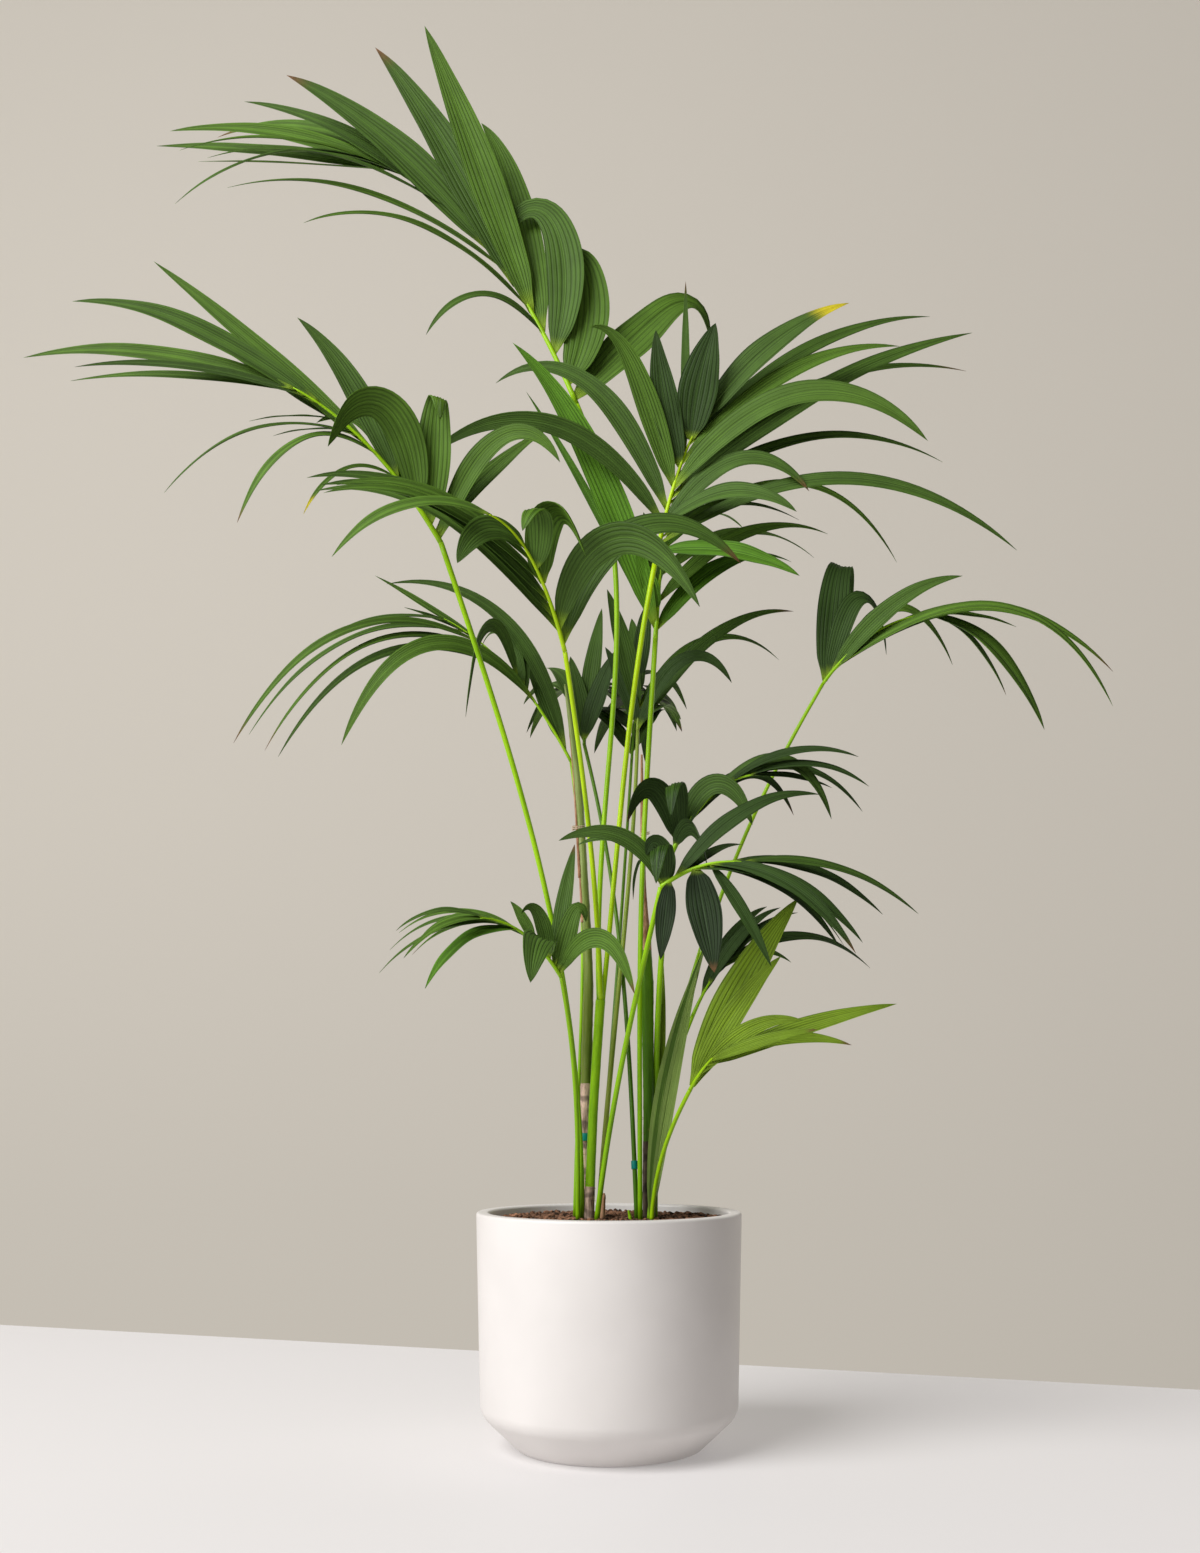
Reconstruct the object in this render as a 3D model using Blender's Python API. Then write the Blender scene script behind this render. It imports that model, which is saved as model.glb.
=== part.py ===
"""Kentia palm in a plain round pot, built in metres, +Z up, standing on z = 0.

Stalks rise from the soil in two clumps. Each stalk ends in a frond: a rib that sags as it
grows, and ranks of long leaflets along it that sag in the same way. Headings are seen from
the front (0 right, 90 up, 180 left) and a lean points away from the front, in degrees.
"""
import math
import random

import bmesh
import bpy
from mathutils import Vector
from mathutils.bvhtree import BVHTree

# Pot, metres
POT_HEIGHT = 0.275
RIM_RADIUS = 0.165
RIM_ROUND = 0.0035
CREASE_RADIUS = 0.1565
CREASE_HEIGHT = 0.041
CREASE_ROUND = 0.009
BASE_RADIUS = 0.111
BASE_ROUND = 0.005
MOUTH_RADIUS = 0.149
WALL_AT_CREASE = 0.012
FLOOR_THICKNESS = 0.016
POT_SIDES = 40

SOIL_TOP = 0.266
GAP = 0.0003               # between pieces that rest on one another
WELD = 0.000001            # points nearer than this become one

# Limbs and leaflets
STEM_SIDES = 8
TAPE_SIDES = 12
STALK_SIDES = 5
STALK_SPANS = 7
RIB_SIDES = 5
RIB_SPANS = 4
GROWTH_STEPS = 24          # steps in which a rib or a leaflet grows
BLADE_AT = (0.0, 0.14, 0.40, 0.66, 0.86, 1.0)      # rings of a leaflet that folds over
BLADE_WIDTH = (0.22, 0.66, 1.0, 0.82, 0.44, 0.0)
GENTLE_AT = (0.0, 0.18, 0.52, 0.80, 1.0)           # rings of one that only arches
GENTLE_WIDTH = (0.22, 0.76, 1.0, 0.58, 0.0)
FOLDS = 1.25               # sag from which a leaflet counts as folding over
THICK_SHARE = 0.011        # a leaflet's thickness over its length
CLEARANCE = 0.0012         # kept between leaflets of different fronds
NUDGES = (0, 5, -5, 10, -10, 16, -16, 23, -23, 31, -31)   # lean tried in turn, degrees

WIDTH_TRIES = (1.0, 0.985, 0.97, 0.955, 0.94)      # leaflet widths tried until a frond closes

COLOURS = {
    "pot": (0.82, 0.79, 0.76),
    "soil": (0.06, 0.035, 0.02),
    "stalk": (0.28, 0.45, 0.04),
    "stem": (0.20, 0.19, 0.08),
    "frond": (0.035, 0.13, 0.03),
    "tape": (0.0, 0.30, 0.28),
    "dead": (0.24, 0.13, 0.07),
}

# Stems: points of the middle line from the soil up, and the radius at each
STEMS = {
    "stem_left": dict(
        path=((-0.025, 0.0, SOIL_TOP), (-0.0195, 0.0, 0.40), (-0.0105, 0.0005, 0.536)),
        radius=(0.0058, 0.0052, 0.0056), depth=1.8),
    "stem_back": dict(
        path=((-0.031, 0.018, SOIL_TOP), (-0.029, 0.020, 0.42), (-0.0265, 0.030, 0.54),
              (-0.0285, 0.036, 0.62), (-0.042, 0.058, 0.84), (-0.060, 0.075, 0.975)),
        radius=(0.0088, 0.0072, 0.0068, 0.0058, 0.0056, 0.0012), depth=1.0),
    "stem_right": dict(
        path=((0.050, 0.0, SOIL_TOP), (0.050, 0.0, 0.44), (0.050, 0.002, 0.55),
              (0.0485, 0.006, 0.62), (0.0455, 0.016, 0.69), (0.045, 0.030, 0.865)),
        radius=(0.0078, 0.0066, 0.0080, 0.0058, 0.0036, 0.0014), depth=1.0),
    "spear_right": dict(
        path=((0.046, 0.0185, SOIL_TOP), (0.0655, 0.037, 0.40), (0.0925, 0.050, 0.50),
              (0.122, 0.060, 0.61)),
        radius=(0.0032, 0.0046, 0.0062, 0.0012), depth=1.0),
}

# Fronds. Stalk: foot, neck, its way (heading, lean) at both, its radius at both.
# Rib: length and sag. Ranks: place along the rib, then heading, lean, length, sag,
# width in millimetres and face (0 lies flat, 90 faces the front) of its leaflets,
# each spread evenly from the rank's first leaflet to its last.
FRONDS = {
    "frond_centre_front": dict(
        foot=(-0.0100, -0.0062, 0.5363), foot_way=(92, -3), foot_radius=0.0034,
        neck=(-0.055, -0.130, 0.961), neck_way=(99, -17), neck_radius=0.0030,
        rib_way=(105, -20), rib=0.215, rib_sag=0.93, seed=4,
        ranks=(
            dict(at=(0.05, 0.14, 0.42, 0.52), count=4, heading=(78, 80, 100, 72),
                 turn=(-36, -45, -52, 50), lean=(4, -16, -12, -24),
                 length=(0.34, 0.295, 0.18, 0.13), sag=(1.5, 2.4, 3.2, 3.0),
                 bend=(1.6, 1.5, 2.0, 2.5), width=(36, 38, 40, 32), face=60),
            dict(at=(0.12, 0.20, 0.30, 0.42, 0.55, 0.66, 0.98), count=7,
                 heading=(125, 128, 131, 136, 137, 135, 160), lean=(-2, -10, 4, -8, 6, -24, -10),
                 length=(0.38, 0.37, 0.33, 0.305, 0.27, 0.12, 0.215),
                 sag=(0.95, 1.0, 0.95, 0.98, 0.95, 2.6, 1.7), width=(26, 24, 24, 22, 20, 34, 24),
                 face=45),
        )),
    "frond_left": dict(
        foot=(-0.0335, -0.0040, 0.2663), foot_way=(90, -1), foot_radius=0.0032,
        neck=(-0.217, -0.100, 1.117), neck_way=(109, -6), neck_radius=0.0036,
        rib_way=(121, -8),
        rib=0.278, rib_sag=0.61, seed=2,
        ranks=(
            dict(at=(0.02, 0.05, 0.10, 0.20, 0.28, 0.36), count=6,
                 heading=(68, 55, 87, 92, 104, 114), turn=(0, 0, 0, 40, 20, 0),
                 lean=(-6, 8, -8, -12, 6, 0), length=(0.265, 0.215, 0.21, 0.25, 0.20, 0.265),
                 sag=(1.66, 0.4, 3.0, 3.0, 1.1, 0.6), bend=(1.6, 1.3, 5.0, 2.5, 1.5, 1.3),
                 width=(28, 24, 42, 42, 32, 30), face=70),
            dict(at=(0.56, 0.66, 0.86, 0.92, 0.96, 0.985), count=6,
                 heading=(136, 138, 145, 163, 162, 160), lean=(2, 12, -4, -12, 10, 0),
                 length=(0.41, 0.30, 0.355, 0.29, 0.335, 0.355),
                 sag=(0.1, 0.15, 0.65, 0.52, 0.35, 0.54), bend=(1.3, 1.3, 2.0, 1.3, 1.3, 1.6),
                 width=(26, 22, 34, 14, 14, 28), face=60),
            dict(at=(0.36, 0.50, 0.62, 0.66, 0.74), count=5, heading=(150, 146, 160, 164, 168),
                 lean=(-12, -14, -6, 12, 6), length=(0.155, 0.25, 0.28, 0.12, 0.12),
                 sag=(2.6, 3.2, 1.7, 0.4, 0.4), width=(16, 22, 18, 12, 12), face=25),
        )),
    "frond_tall": dict(
        foot=(-0.0125, 0.0006, 0.5363), foot_way=(92, 3), foot_radius=0.0032,
        neck=(-0.045, 0.120, 1.413), neck_way=(111, 4), neck_radius=0.0040,
        rib=0.530, rib_sag=0.72, seed=1,
        ranks=(
            dict(at=(0.02, 0.07, 0.175, 0.25, 0.32, 0.42, 0.56, 0.73, 0.83, 0.93, 0.985), count=11,
                 heading=(52, 66, 74, 98, 109, 114, 128, 135, 134, 153, 164),
                 turn=(0, 50, 50, 0, 0, 0, 0, 0, 0, 0, 0),
                 lean=(12, 8, 4, 4, 2, 3, 0, 4, 7, -2, 4),
                 length=(0.335, 0.30, 0.345, 0.44, 0.50, 0.485, 0.455, 0.42, 0.45, 0.385, 0.40),
                 sag=(6.0, 3.0, 2.6, 0.72, 0.17, 0.42, 0.5, 0.57, 0.85, 0.6, 0.2),
                 bend=(9.0, 6.0, 4.0, 1.3, 1.3, 1.3, 1.3, 1.3, 1.3, 1.3, 1.3),
                 width=(46, 46, 40, 36, 38, 40, 40, 22, 26, 24, 20), face=72),
            dict(at=(0.24, 0.33, 0.48, 0.70, 0.90, 0.95, 0.975), count=7,
                 heading=(129, 134, 140, 150, 155, 160, 166), lean=(-10, -14, -4, -12, -6, -12, 8),
                 length=(0.225, 0.385, 0.46, 0.40, 0.40, 0.35, 0.35),
                 sag=(2.1, 1.15, 0.88, 0.95, 1.45, 0.85, 0.1), width=(20, 20, 24, 22, 22, 20, 18),
                 face=35),
        )),
    "frond_right": dict(
        foot=(-0.0078, 0.0066, 0.5363), foot_way=(84, 2), foot_radius=0.0032,
        neck=(0.065, 0.040, 1.138), neck_way=(79, 2), neck_radius=0.0038,
        rib=0.228, rib_sag=0.62, seed=3,
        ranks=(
            dict(at=(0.26, 0.36, 0.52), count=3, heading=(122, 110, 107), lean=(-6, 4, -4),
                 length=(0.405, 0.385, 0.27), sag=(1.38, 1.2, 1.1), bend=(1.0, 1.3, 3.0),
                 width=(28, 30, 32), face=75),
            dict(at=(0.66, 0.76, 0.86), count=3, heading=(104, 88, 84), turn=(-12, 0, -12),
                 lean=(-4, 14, -6), length=(0.205, 0.33, 0.172), sag=(0.1, 0.1, 0.1),
                 width=(36, 12, 50), face=82),
            dict(at=(0.08, 0.13, 0.17, 0.22, 0.25, 0.27, 0.40), count=7,
                 heading=(0, 32, 38, 55, 35, 32, 41), lean=(-20, -7, 8, -4, 12, -18, 12),
                 length=(0.21, 0.53, 0.42, 0.27, 0.24, 0.215, 0.475),
                 sag=(0.7, 1.4, 2.1, 1.7, 0.83, 1.35, 0.95),
                 bend=(1.3, 1.3, 2.0, 1.5, 1.3, 1.3, 1.3), width=(34, 24, 16, 28, 14, 28, 20),
                 face=55),
            dict(at=(0.44, 0.50, 0.60, 0.68, 0.82, 0.975), count=6,
                 heading=(42, 50, 45, 50, 50, 54), lean=(5, -10, 15, 2, 8, -3),
                 length=(0.545, 0.42, 0.55, 0.375, 0.465, 0.285),
                 sag=(0.47, 1.6, 0.72, 0.8, 0.66, 0.64), bend=(1.3, 1.3, 1.3, 1.3, 1.3, 1.3),
                 width=(36, 36, 20, 26, 26, 40), face=60),
        )),
    "frond_upper_back": dict(
        foot=(0.0385, -0.0150, 0.2663), foot_way=(90, -2), foot_radius=0.0030,
        neck=(0.0655, 0.058, 1.034), neck_way=(86, 10), neck_radius=0.0036, reach=0.5,
        rib=0.150, rib_sag=0.45, seed=14,
        ranks=(
            dict(at=(0.12, 0.10, 0.30, 0.60), count=4, heading=(108, 114, 108, 100),
                 lean=(-3, 6, -10, 12), length=(0.465, 0.42, 0.09, 0.12), sag=(0.7, 0.25, 0.3, 0.3),
                 width=(40, 12, 24, 22), face=80),
            dict(at=(0.10, 0.98), count=4, heading=(58, 52, 50, 60), lean=(18, 10, 26, 34),
                 length=(0.30, 0.34, 0.34, 0.26), sag=(0.9, 0.9, 1.0, 0.9), width=(30, 26, 26, 24),
                 face=50),
        )),
    "frond_far_right": dict(
        foot=(0.0545, 0.0265, 0.2663), foot_way=(84, 1), foot_radius=0.0028,
        neck=(0.290, 0.020, 0.961), neck_way=(59, -2), neck_radius=0.0024, rib_way=(54, -2),
        rib=0.185, rib_sag=0.80, seed=5,
        ranks=(
            dict(at=(0.02, 0.06, 0.11, 0.27), count=4, heading=(80, 73, 52, 62), lean=(16, 6, -4, 10),
                 length=(0.285, 0.235, 0.225, 0.235), sag=(6.0, 3.8, 0.76, 2.05),
                 bend=(6.0, 2.8, 1.3, 1.3), width=(38, 26, 25, 18), face=65),
            dict(at=(0.14, 0.18, 0.95, 0.985, 0.99), count=5, heading=(38, 29, -14, -16, 5),
                 lean=(-4, -12, -8, 8, 2), length=(0.42, 0.43, 0.237, 0.152, 0.118),
                 sag=(1.6, 2.8, 2.6, 2.2, 0.5), bend=(1.45, 2.2, 1.3, 1.3, 1.3),
                 width=(22, 20, 28, 14, 12), face=40),
        )),
    "frond_low_left": dict(
        foot=(-0.0385, -0.0115, 0.2663), foot_way=(90, -3), foot_radius=0.0030,
        neck=(-0.059, -0.080, 0.559), neck_way=(101, -16), neck_radius=0.0026, rib_way=(122, -16),
        rib=0.135, rib_sag=0.85, seed=6,
        ranks=(
            dict(at=(0.03, 0.08, 0.12, 0.20), count=4, heading=(62, 76, 83, 93),
                 turn=(0, 0, 0, 25), lean=(-16, -4, 8, -12), length=(0.165, 0.105, 0.17, 0.09),
                 sag=(2.65, 3.7, 0.3, 2.0), bend=(1.3, 6.0, 1.3, 4.0), width=(22, 24, 19, 18),
                 face=60),
            dict(at=(0.22, 0.42, 0.85), count=3, heading=(102, 112, 162), lean=(-48, 8, 12),
                 length=(0.13, 0.06, 0.10), sag=(2.6, 0.5, 1.2), width=(36, 14, 12), face=40),
            dict(at=(0.60, 0.85, 0.75, 0.70, 0.47, 0.63, 0.95), count=7,
                 heading=(174, 172, 174, 165, 150, 151, 160), lean=(-14, -24, 8, -12, -2, 14, -6),
                 length=(0.145, 0.133, 0.172, 0.14, 0.20, 0.155, 0.115),
                 sag=(2.1, 1.4, 1.2, 1.15, 1.3, 1.15, 1.2), width=(24, 12, 12, 12, 14, 12, 12),
                 face=30),
        )),
    "frond_mid_right": dict(
        foot=(0.0570, 0.0125, 0.2663), foot_way=(89, 0), foot_radius=0.0042,
        neck=(0.082, -0.030, 0.723), neck_way=(82, -8), neck_radius=0.0034, rib_way=(64, -8),
        rib=0.150, rib_sag=0.86, seed=7,
        ranks=(
            dict(at=(0.04, 0.10, 0.14), count=3, heading=(70, 104, 96), lean=(-30, -8, -20),
                 length=(0.12, 0.15, 0.14), sag=(3.2, 2.12, 3.2), bend=(1.3, 1.4, 2.2),
                 width=(22, 28, 26), face=60),
            dict(at=(0.17, 0.30, 0.50, 0.62, 0.75, 0.95, 0.985), count=7,
                 heading=(74, 52, 40, 36, 38, 20, 5), lean=(-8, 4, -10, 8, 18, -4, 6),
                 length=(0.165, 0.188, 0.218, 0.228, 0.18, 0.165, 0.11),
                 sag=(1.9, 2.3, 3.3, 1.68, 0.95, 1.1, 0.5), bend=(1.05, 1.9, 2.25, 1.45, 1.1, 1.3, 1.3),
                 width=(25, 20, 22, 16, 14, 14, 12), face=45),
        )),
    "frond_front_right": dict(
        foot=(-0.0150, -0.0160, 0.2663), foot_way=(83, -4), foot_radius=0.0034,
        neck=(0.064, -0.100, 0.668), neck_way=(77, -13), neck_radius=0.0032, rib_way=(36, -12),
        rib=0.110, rib_sag=0.70, seed=8,
        ranks=(
            dict(at=(0.02, 0.05, 0.03, 0.06, 0.09), count=5, heading=(108, 105, 106, 96, 98),
                 turn=(50, 50, 0, 0, 0), lean=(-5, 4, 10, -20, 16),
                 length=(0.165, 0.14, 0.11, 0.115, 0.075), sag=(0.85, 0.85, 4.5, 3.5, 1.5),
                 bend=(0.9, 0.9, 2.0, 1.8, 1.3), width=(20, 16, 22, 26, 26), face=60),
            dict(at=(0.12, 0.45, 0.62), count=3, heading=(262, 280, 306), lean=(-16, -22, -10),
                 length=(0.105, 0.142, 0.148), sag=(0.3, 0.3, 0.6), width=(22, 38, 15), face=70),
            dict(at=(0.20, 0.32, 0.40, 0.50, 0.62, 0.52, 0.85, 0.98), count=8,
                 heading=(50, 44, 6, 2, -2, 6, 6, 7), lean=(10, 20, -14, -4, -12, 4, 8, 2),
                 length=(0.23, 0.125, 0.235, 0.21, 0.22, 0.23, 0.212, 0.235),
                 sag=(0.85, 0.5, 1.45, 1.6, 1.6, 1.5, 1.05, 1.0),
                 width=(24, 13, 24, 20, 20, 14, 18, 16), face=45),
        )),
    "frond_low_back": dict(
        foot=(0.0495, -0.0135, 0.2663), foot_way=(84, 2), foot_radius=0.0028,
        neck=(0.109, 0.020, 0.518), neck_way=(66, 10), neck_radius=0.0026,
        rib=0.080, rib_sag=0.50, seed=9,
        ranks=(
            dict(at=(0.35, 0.55, 0.70, 0.80, 0.90, 0.985), count=6, heading=(66, 62, 55, 52, 38, 35),
                 lean=(14, 4, 18, 8, 16, 10), length=(0.17, 0.145, 0.155, 0.14, 0.255, 0.10),
                 sag=(0.72, 0.71, 0.77, 0.72, 1.23, 1.2), width=(18, 16, 16, 12, 17, 12), face=45),
        )),
    "frond_young": dict(
        foot=(0.0525, -0.0225, 0.2663), foot_way=(86, -3), foot_radius=0.0028,
        neck=(0.099, -0.070, 0.423), neck_way=(62, -18), neck_radius=0.0026,
        rib=0.050, rib_sag=0.40, seed=10,
        ranks=(
            dict(at=(0.10, 0.25, 0.45, 0.75, 0.90, 0.985), count=6, heading=(65, 61, 50, 22, 24, 22),
                 lean=(2, -8, -14, -4, -12, -18), length=(0.27, 0.185, 0.155, 0.24, 0.14, 0.175),
                 sag=(0.42, 0.45, 0.9, 0.25, 0.3, 0.68), width=(46, 30, 22, 24, 16, 18), face=70),
        )),
    "frond_back_left": dict(
        foot=(-0.0430, 0.0300, 0.2663), foot_way=(89, 3), foot_radius=0.0024,
        neck=(-0.052, 0.140, 0.879), neck_way=(98, 12), neck_radius=0.0024, rib_way=(117, 4),
        rib=0.295, rib_sag=0.64, seed=11,
        ranks=(
            dict(at=(0.06, 0.10, 0.45, 0.42), count=4, heading=(101, 106, 100, 98),
                 turn=(34, 0, 20, 0), lean=(6, 20, 10, 14), length=(0.42, 0.20, 0.155, 0.14),
                 sag=(0.8, 0.5, 2.2, 4.0), bend=(1.3, 1.3, 3.5, 3.0), width=(20, 26, 18, 14),
                 face=45),
            dict(at=(0.78, 0.85, 0.98), count=3, heading=(141, 148, 168), lean=(10, 16, 6),
                 length=(0.20, 0.13, 0.20), sag=(0.1, 0.15, 0.85), width=(15, 12, 14), face=35),
            dict(at=(0.35, 0.50, 0.55, 0.65, 0.75, 0.85), count=6,
                 heading=(130, 104, 150, 152, 154, 163), lean=(-10, -20, -4, 4, -10, 2),
                 length=(0.38, 0.26, 0.40, 0.42, 0.43, 0.39), sag=(2.6, 4.8, 2.2, 2.2, 2.3, 1.9),
                 bend=(1.35, 1.6, 1.3, 1.3, 1.3, 1.3), width=(28, 18, 20, 20, 20, 20), face=40),
        )),
    "frond_back_right": dict(
        foot=(-0.0130, 0.0160, 0.2663), foot_way=(86, 1), foot_radius=0.0036,
        neck=(0.043, 0.160, 0.929), neck_way=(88, 16), neck_radius=0.0026,
        rib=0.110, rib_sag=0.55, seed=13,
        ranks=(
            dict(at=(0.10, 0.80), count=4, heading=(108, 103, 92, 87), lean=(6, -4, 20, 10),
                 length=(0.13, 0.185, 0.15, 0.14), sag=(0.4, 0.35, 0.5, 1.0), width=(22, 26, 24, 22),
                 face=65),
            dict(at=(0.05, 0.35, 0.02, 0.90), count=4, heading=(60, 58, 66, 44), lean=(2, 12, -8, 52),
                 length=(0.31, 0.29, 0.215, 0.17), sag=(0.9, 1.25, 1.75, 1.2),
                 bend=(1.3, 1.3, 1.55, 1.3), width=(22, 20, 20, 18), face=45),
        )),
    "frond_back": dict(
        foot=(0.0345, -0.0055, 0.2663), foot_way=(92, 4), foot_radius=0.0030,
        neck=(-0.034, 0.200, 0.918), neck_way=(103, 18), neck_radius=0.0026, rib_way=(90, 35),
        rib=0.180, rib_sag=0.55, seed=12,
        ranks=(
            dict(at=(0.04, 0.97), count=5, heading=(97, 108, 118, 130, 142),
                 lean=(18, 32, 42, 50, 58), length=(0.16, 0.20, 0.24, 0.25, 0.22),
                 sag=(0.4, 0.7, 1.0, 1.2, 1.2), width=(26, 28, 26, 24, 20), face=30),
            dict(at=(0.05, 0.985), count=6, heading=(76, 85, 72, 62, 52, 42),
                 lean=(8, 16, 36, 46, 54, 60), length=(0.16, 0.22, 0.22, 0.24, 0.24, 0.22),
                 sag=(0.5, 0.25, 0.9, 1.1, 1.2, 1.2), width=(28, 24, 26, 24, 22, 20), face=30),
        )),
    "frond_hidden_back": dict(
        foot=(-0.0140, 0.0300, 0.2663), foot_way=(85, 2), foot_radius=0.0024,
        neck=(0.036, 0.245, 0.905), neck_way=(86, 24), neck_radius=0.0022,
        rib=0.190, rib_sag=0.70, seed=15,
        ranks=(
            dict(at=(0.05, 0.97), count=5, heading=(112, 118, 124, 134, 150),
                 lean=(36, 50, 60, 66, 70), length=(0.19, 0.22, 0.23, 0.22, 0.20),
                 sag=(0.7, 0.9, 1.1, 1.1, 1.1), width=(24, 26, 24, 22, 20), face=20),
            dict(at=(0.08, 0.985), count=5, heading=(70, 64, 58, 48, 34),
                 lean=(36, 50, 60, 66, 70), length=(0.18, 0.21, 0.22, 0.21, 0.18),
                 sag=(0.7, 0.9, 1.1, 1.1, 1.1), width=(24, 26, 24, 22, 20), face=20),
        )),
}

# Bands of tape and small dead stubs
TAPES = {
    "tape_left": dict(around="stem_back", height=0.365, tall=0.0095, thick=0.0011),
    "tape_right": dict(around="frond_back", height=0.331, tall=0.0100, thick=0.0009),
}
STUBS = {
    "stub_left": dict(foot=(-0.0080, -0.0030), top=(-0.0060, -0.0030), height=0.031, radius=0.0032),
    "shoot_right": dict(foot=(0.0265, -0.0200), top=(0.0240, -0.0200), height=0.012, radius=0.0022),
}


def toward(way):
    """Unit vector of a heading and a lean."""
    heading, lean = (math.radians(a) for a in way)
    return Vector((math.cos(heading) * math.cos(lean), math.sin(lean),
                   math.sin(heading) * math.cos(lean)))


def spread(keys, t):
    """Value at t (0 to 1) of keys that are spaced evenly, or of one number."""
    if not isinstance(keys, tuple):
        return keys
    place = t * (len(keys) - 1)
    n = min(int(place), len(keys) - 2) if len(keys) > 1 else 0
    return keys[n] + (keys[min(n + 1, len(keys) - 1)] - keys[n]) * (place - n)


def grow(start, way, length, sag, bend, turn=0):
    """Points of a rib or leaflet that leaves start, sags as it grows and turns a little.

    A bend near 1 sags from the start; a high one stays straight and then folds over.
    """
    points = [Vector(start)]
    for n in range(GROWTH_STEPS):
        t = (n + 0.5) / GROWTH_STEPS
        step = toward((way[0] + turn * t, way[1])) - Vector((0, 0, sag)) * t ** bend
        points.append(points[-1] + step.normalized() * (length / GROWTH_STEPS))
    return points


def along(points, t):
    """Point at the share t of a path of even steps."""
    place = t * (len(points) - 1)
    n = min(int(place), len(points) - 2)
    return points[n].lerp(points[n + 1], place - n)


def stalk_path(frond):
    """Points of the curve from a stalk's foot to its neck."""
    a, b = Vector(frond["foot"]), Vector(frond["neck"])
    span = (b - a).length * frond.get("reach", 0.36)
    p, q = a + toward(frond["foot_way"]) * span, b - toward(frond["neck_way"]) * span
    path = []
    for n in range(STALK_SPANS + 1):
        t = n / STALK_SPANS
        s = 1 - t
        path.append(a * s ** 3 + p * (3 * s * s * t) + q * (3 * s * t * t) + b * t ** 3)
    return path


def shell(rings, flat_ends=True):
    """Points and faces of a closed limb through rings of points; one-point rings are tips."""
    points, faces, starts = [], [], []
    for ring in rings:
        starts.append(len(points))
        points += ring
    for k in range(len(rings) - 1):
        a, b, m, n = starts[k], starts[k + 1], len(rings[k]), len(rings[k + 1])
        for i in range(max(m, n)):
            j = (i + 1) % max(m, n)
            if n == 1:
                faces.append((a + i, a + j, b))
            elif m == 1:
                faces.append((a, b + j, b + i))
            else:
                faces.append((a + i, a + j, b + j, b + i))
    for k, turn in ((0, -1), (len(rings) - 1, 1)):
        if len(rings[k]) > 1:
            faces.append(tuple(range(starts[k], starts[k] + len(rings[k])))[::turn])
    return points, faces


def ring(centre, direction, radius, sides, depth=1.0, level=False):
    """Points around a centre, square to a direction, or level."""
    up = Vector((0, 0, 1)) if level else direction
    side = Vector((0, 1, 0)).cross(up).normalized()
    back = up.cross(side)
    return [centre + side * (math.cos(math.tau * i / sides) * radius)
            + back * (math.sin(math.tau * i / sides) * radius * depth) for i in range(sides)]


def limb(path, radii, sides, depth=1.0, level_foot=True, pointed=False):
    """Rings of a tapering limb along a path."""
    rings = []
    for n, (point, radius) in enumerate(zip(path, radii)):
        before, after = path[max(n - 1, 0)], path[min(n + 1, len(path) - 1)]
        rings.append(ring(point, (after - before).normalized(), radius, sides, depth,
                          level_foot and n == 0))
    if pointed:
        rings.append([path[-1] + (path[-1] - path[-2]).normalized() * radii[-1] * 2])
    return rings


def blade(path, width, face, folds, swell=0.0, first=0):
    """Rings of a leaflet: a flat top over a keel, broad near its middle, that end in a point."""
    length = (path[1] - path[0]).length * GROWTH_STEPS
    turn = math.radians(face)
    normal = Vector((0, -math.sin(turn), math.cos(turn)))
    across = (path[1] - path[0]).cross(normal).normalized()
    rings = []
    for t, share in zip(*((BLADE_AT, BLADE_WIDTH) if folds else (GENTLE_AT, GENTLE_WIDTH))):
        here = along(path, t)
        way = (along(path, min(t + 0.04, 1)) - along(path, max(t - 0.04, 0))).normalized()
        across = (across - way * across.dot(way)).normalized()
        if share == 0:
            rings.append([here])
            continue
        out = across * (width * share / 2 + swell * 1.5)
        keel = way.cross(across) * (length * THICK_SHARE * (0.55 + 0.45 * share) + swell * 2)
        top = way.cross(across) * swell
        rings.append([here + out - top, here - out - top, here + keel - top])
    return rings[first:]


def add_object(name, points, faces, colour, smooth=False):
    """One named object with its own material."""
    mesh = bpy.data.meshes.new(name)
    mesh.from_pydata([tuple(p) for p in points], [], faces)
    mesh.update()
    work = bmesh.new()
    work.from_mesh(mesh)
    bmesh.ops.recalc_face_normals(work, faces=work.faces)
    work.to_mesh(mesh)
    work.free()
    material = bpy.data.materials.new(name)
    material.use_nodes = True
    shader = material.node_tree.nodes["Principled BSDF"]
    shader.inputs["Base Color"].default_value = (*COLOURS[colour], 1)
    shader.inputs["Roughness"].default_value = 0.5
    mesh.materials.append(material)
    if smooth:
        mesh.polygons.foreach_set("use_smooth", [True] * len(mesh.polygons))
    made = bpy.data.objects.new(name, mesh)
    bpy.context.scene.collection.objects.link(made)
    return made


def tree_of(points, faces):
    """Search tree of a solid, to find what it touches."""
    return BVHTree.FromPolygons([tuple(p) for p in points], faces, epsilon=0.0)


def turned(name, profile, colour):
    """Solid turned about the Z axis from (radius, height) points."""
    rings = [[Vector((r * math.cos(math.tau * i / POT_SIDES), r * math.sin(math.tau * i / POT_SIDES), z))
              for i in range(POT_SIDES)] if r > 0 else [Vector((0, 0, z))] for r, z in profile]
    return add_object(name, *shell(rings), colour, smooth=True)


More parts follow.
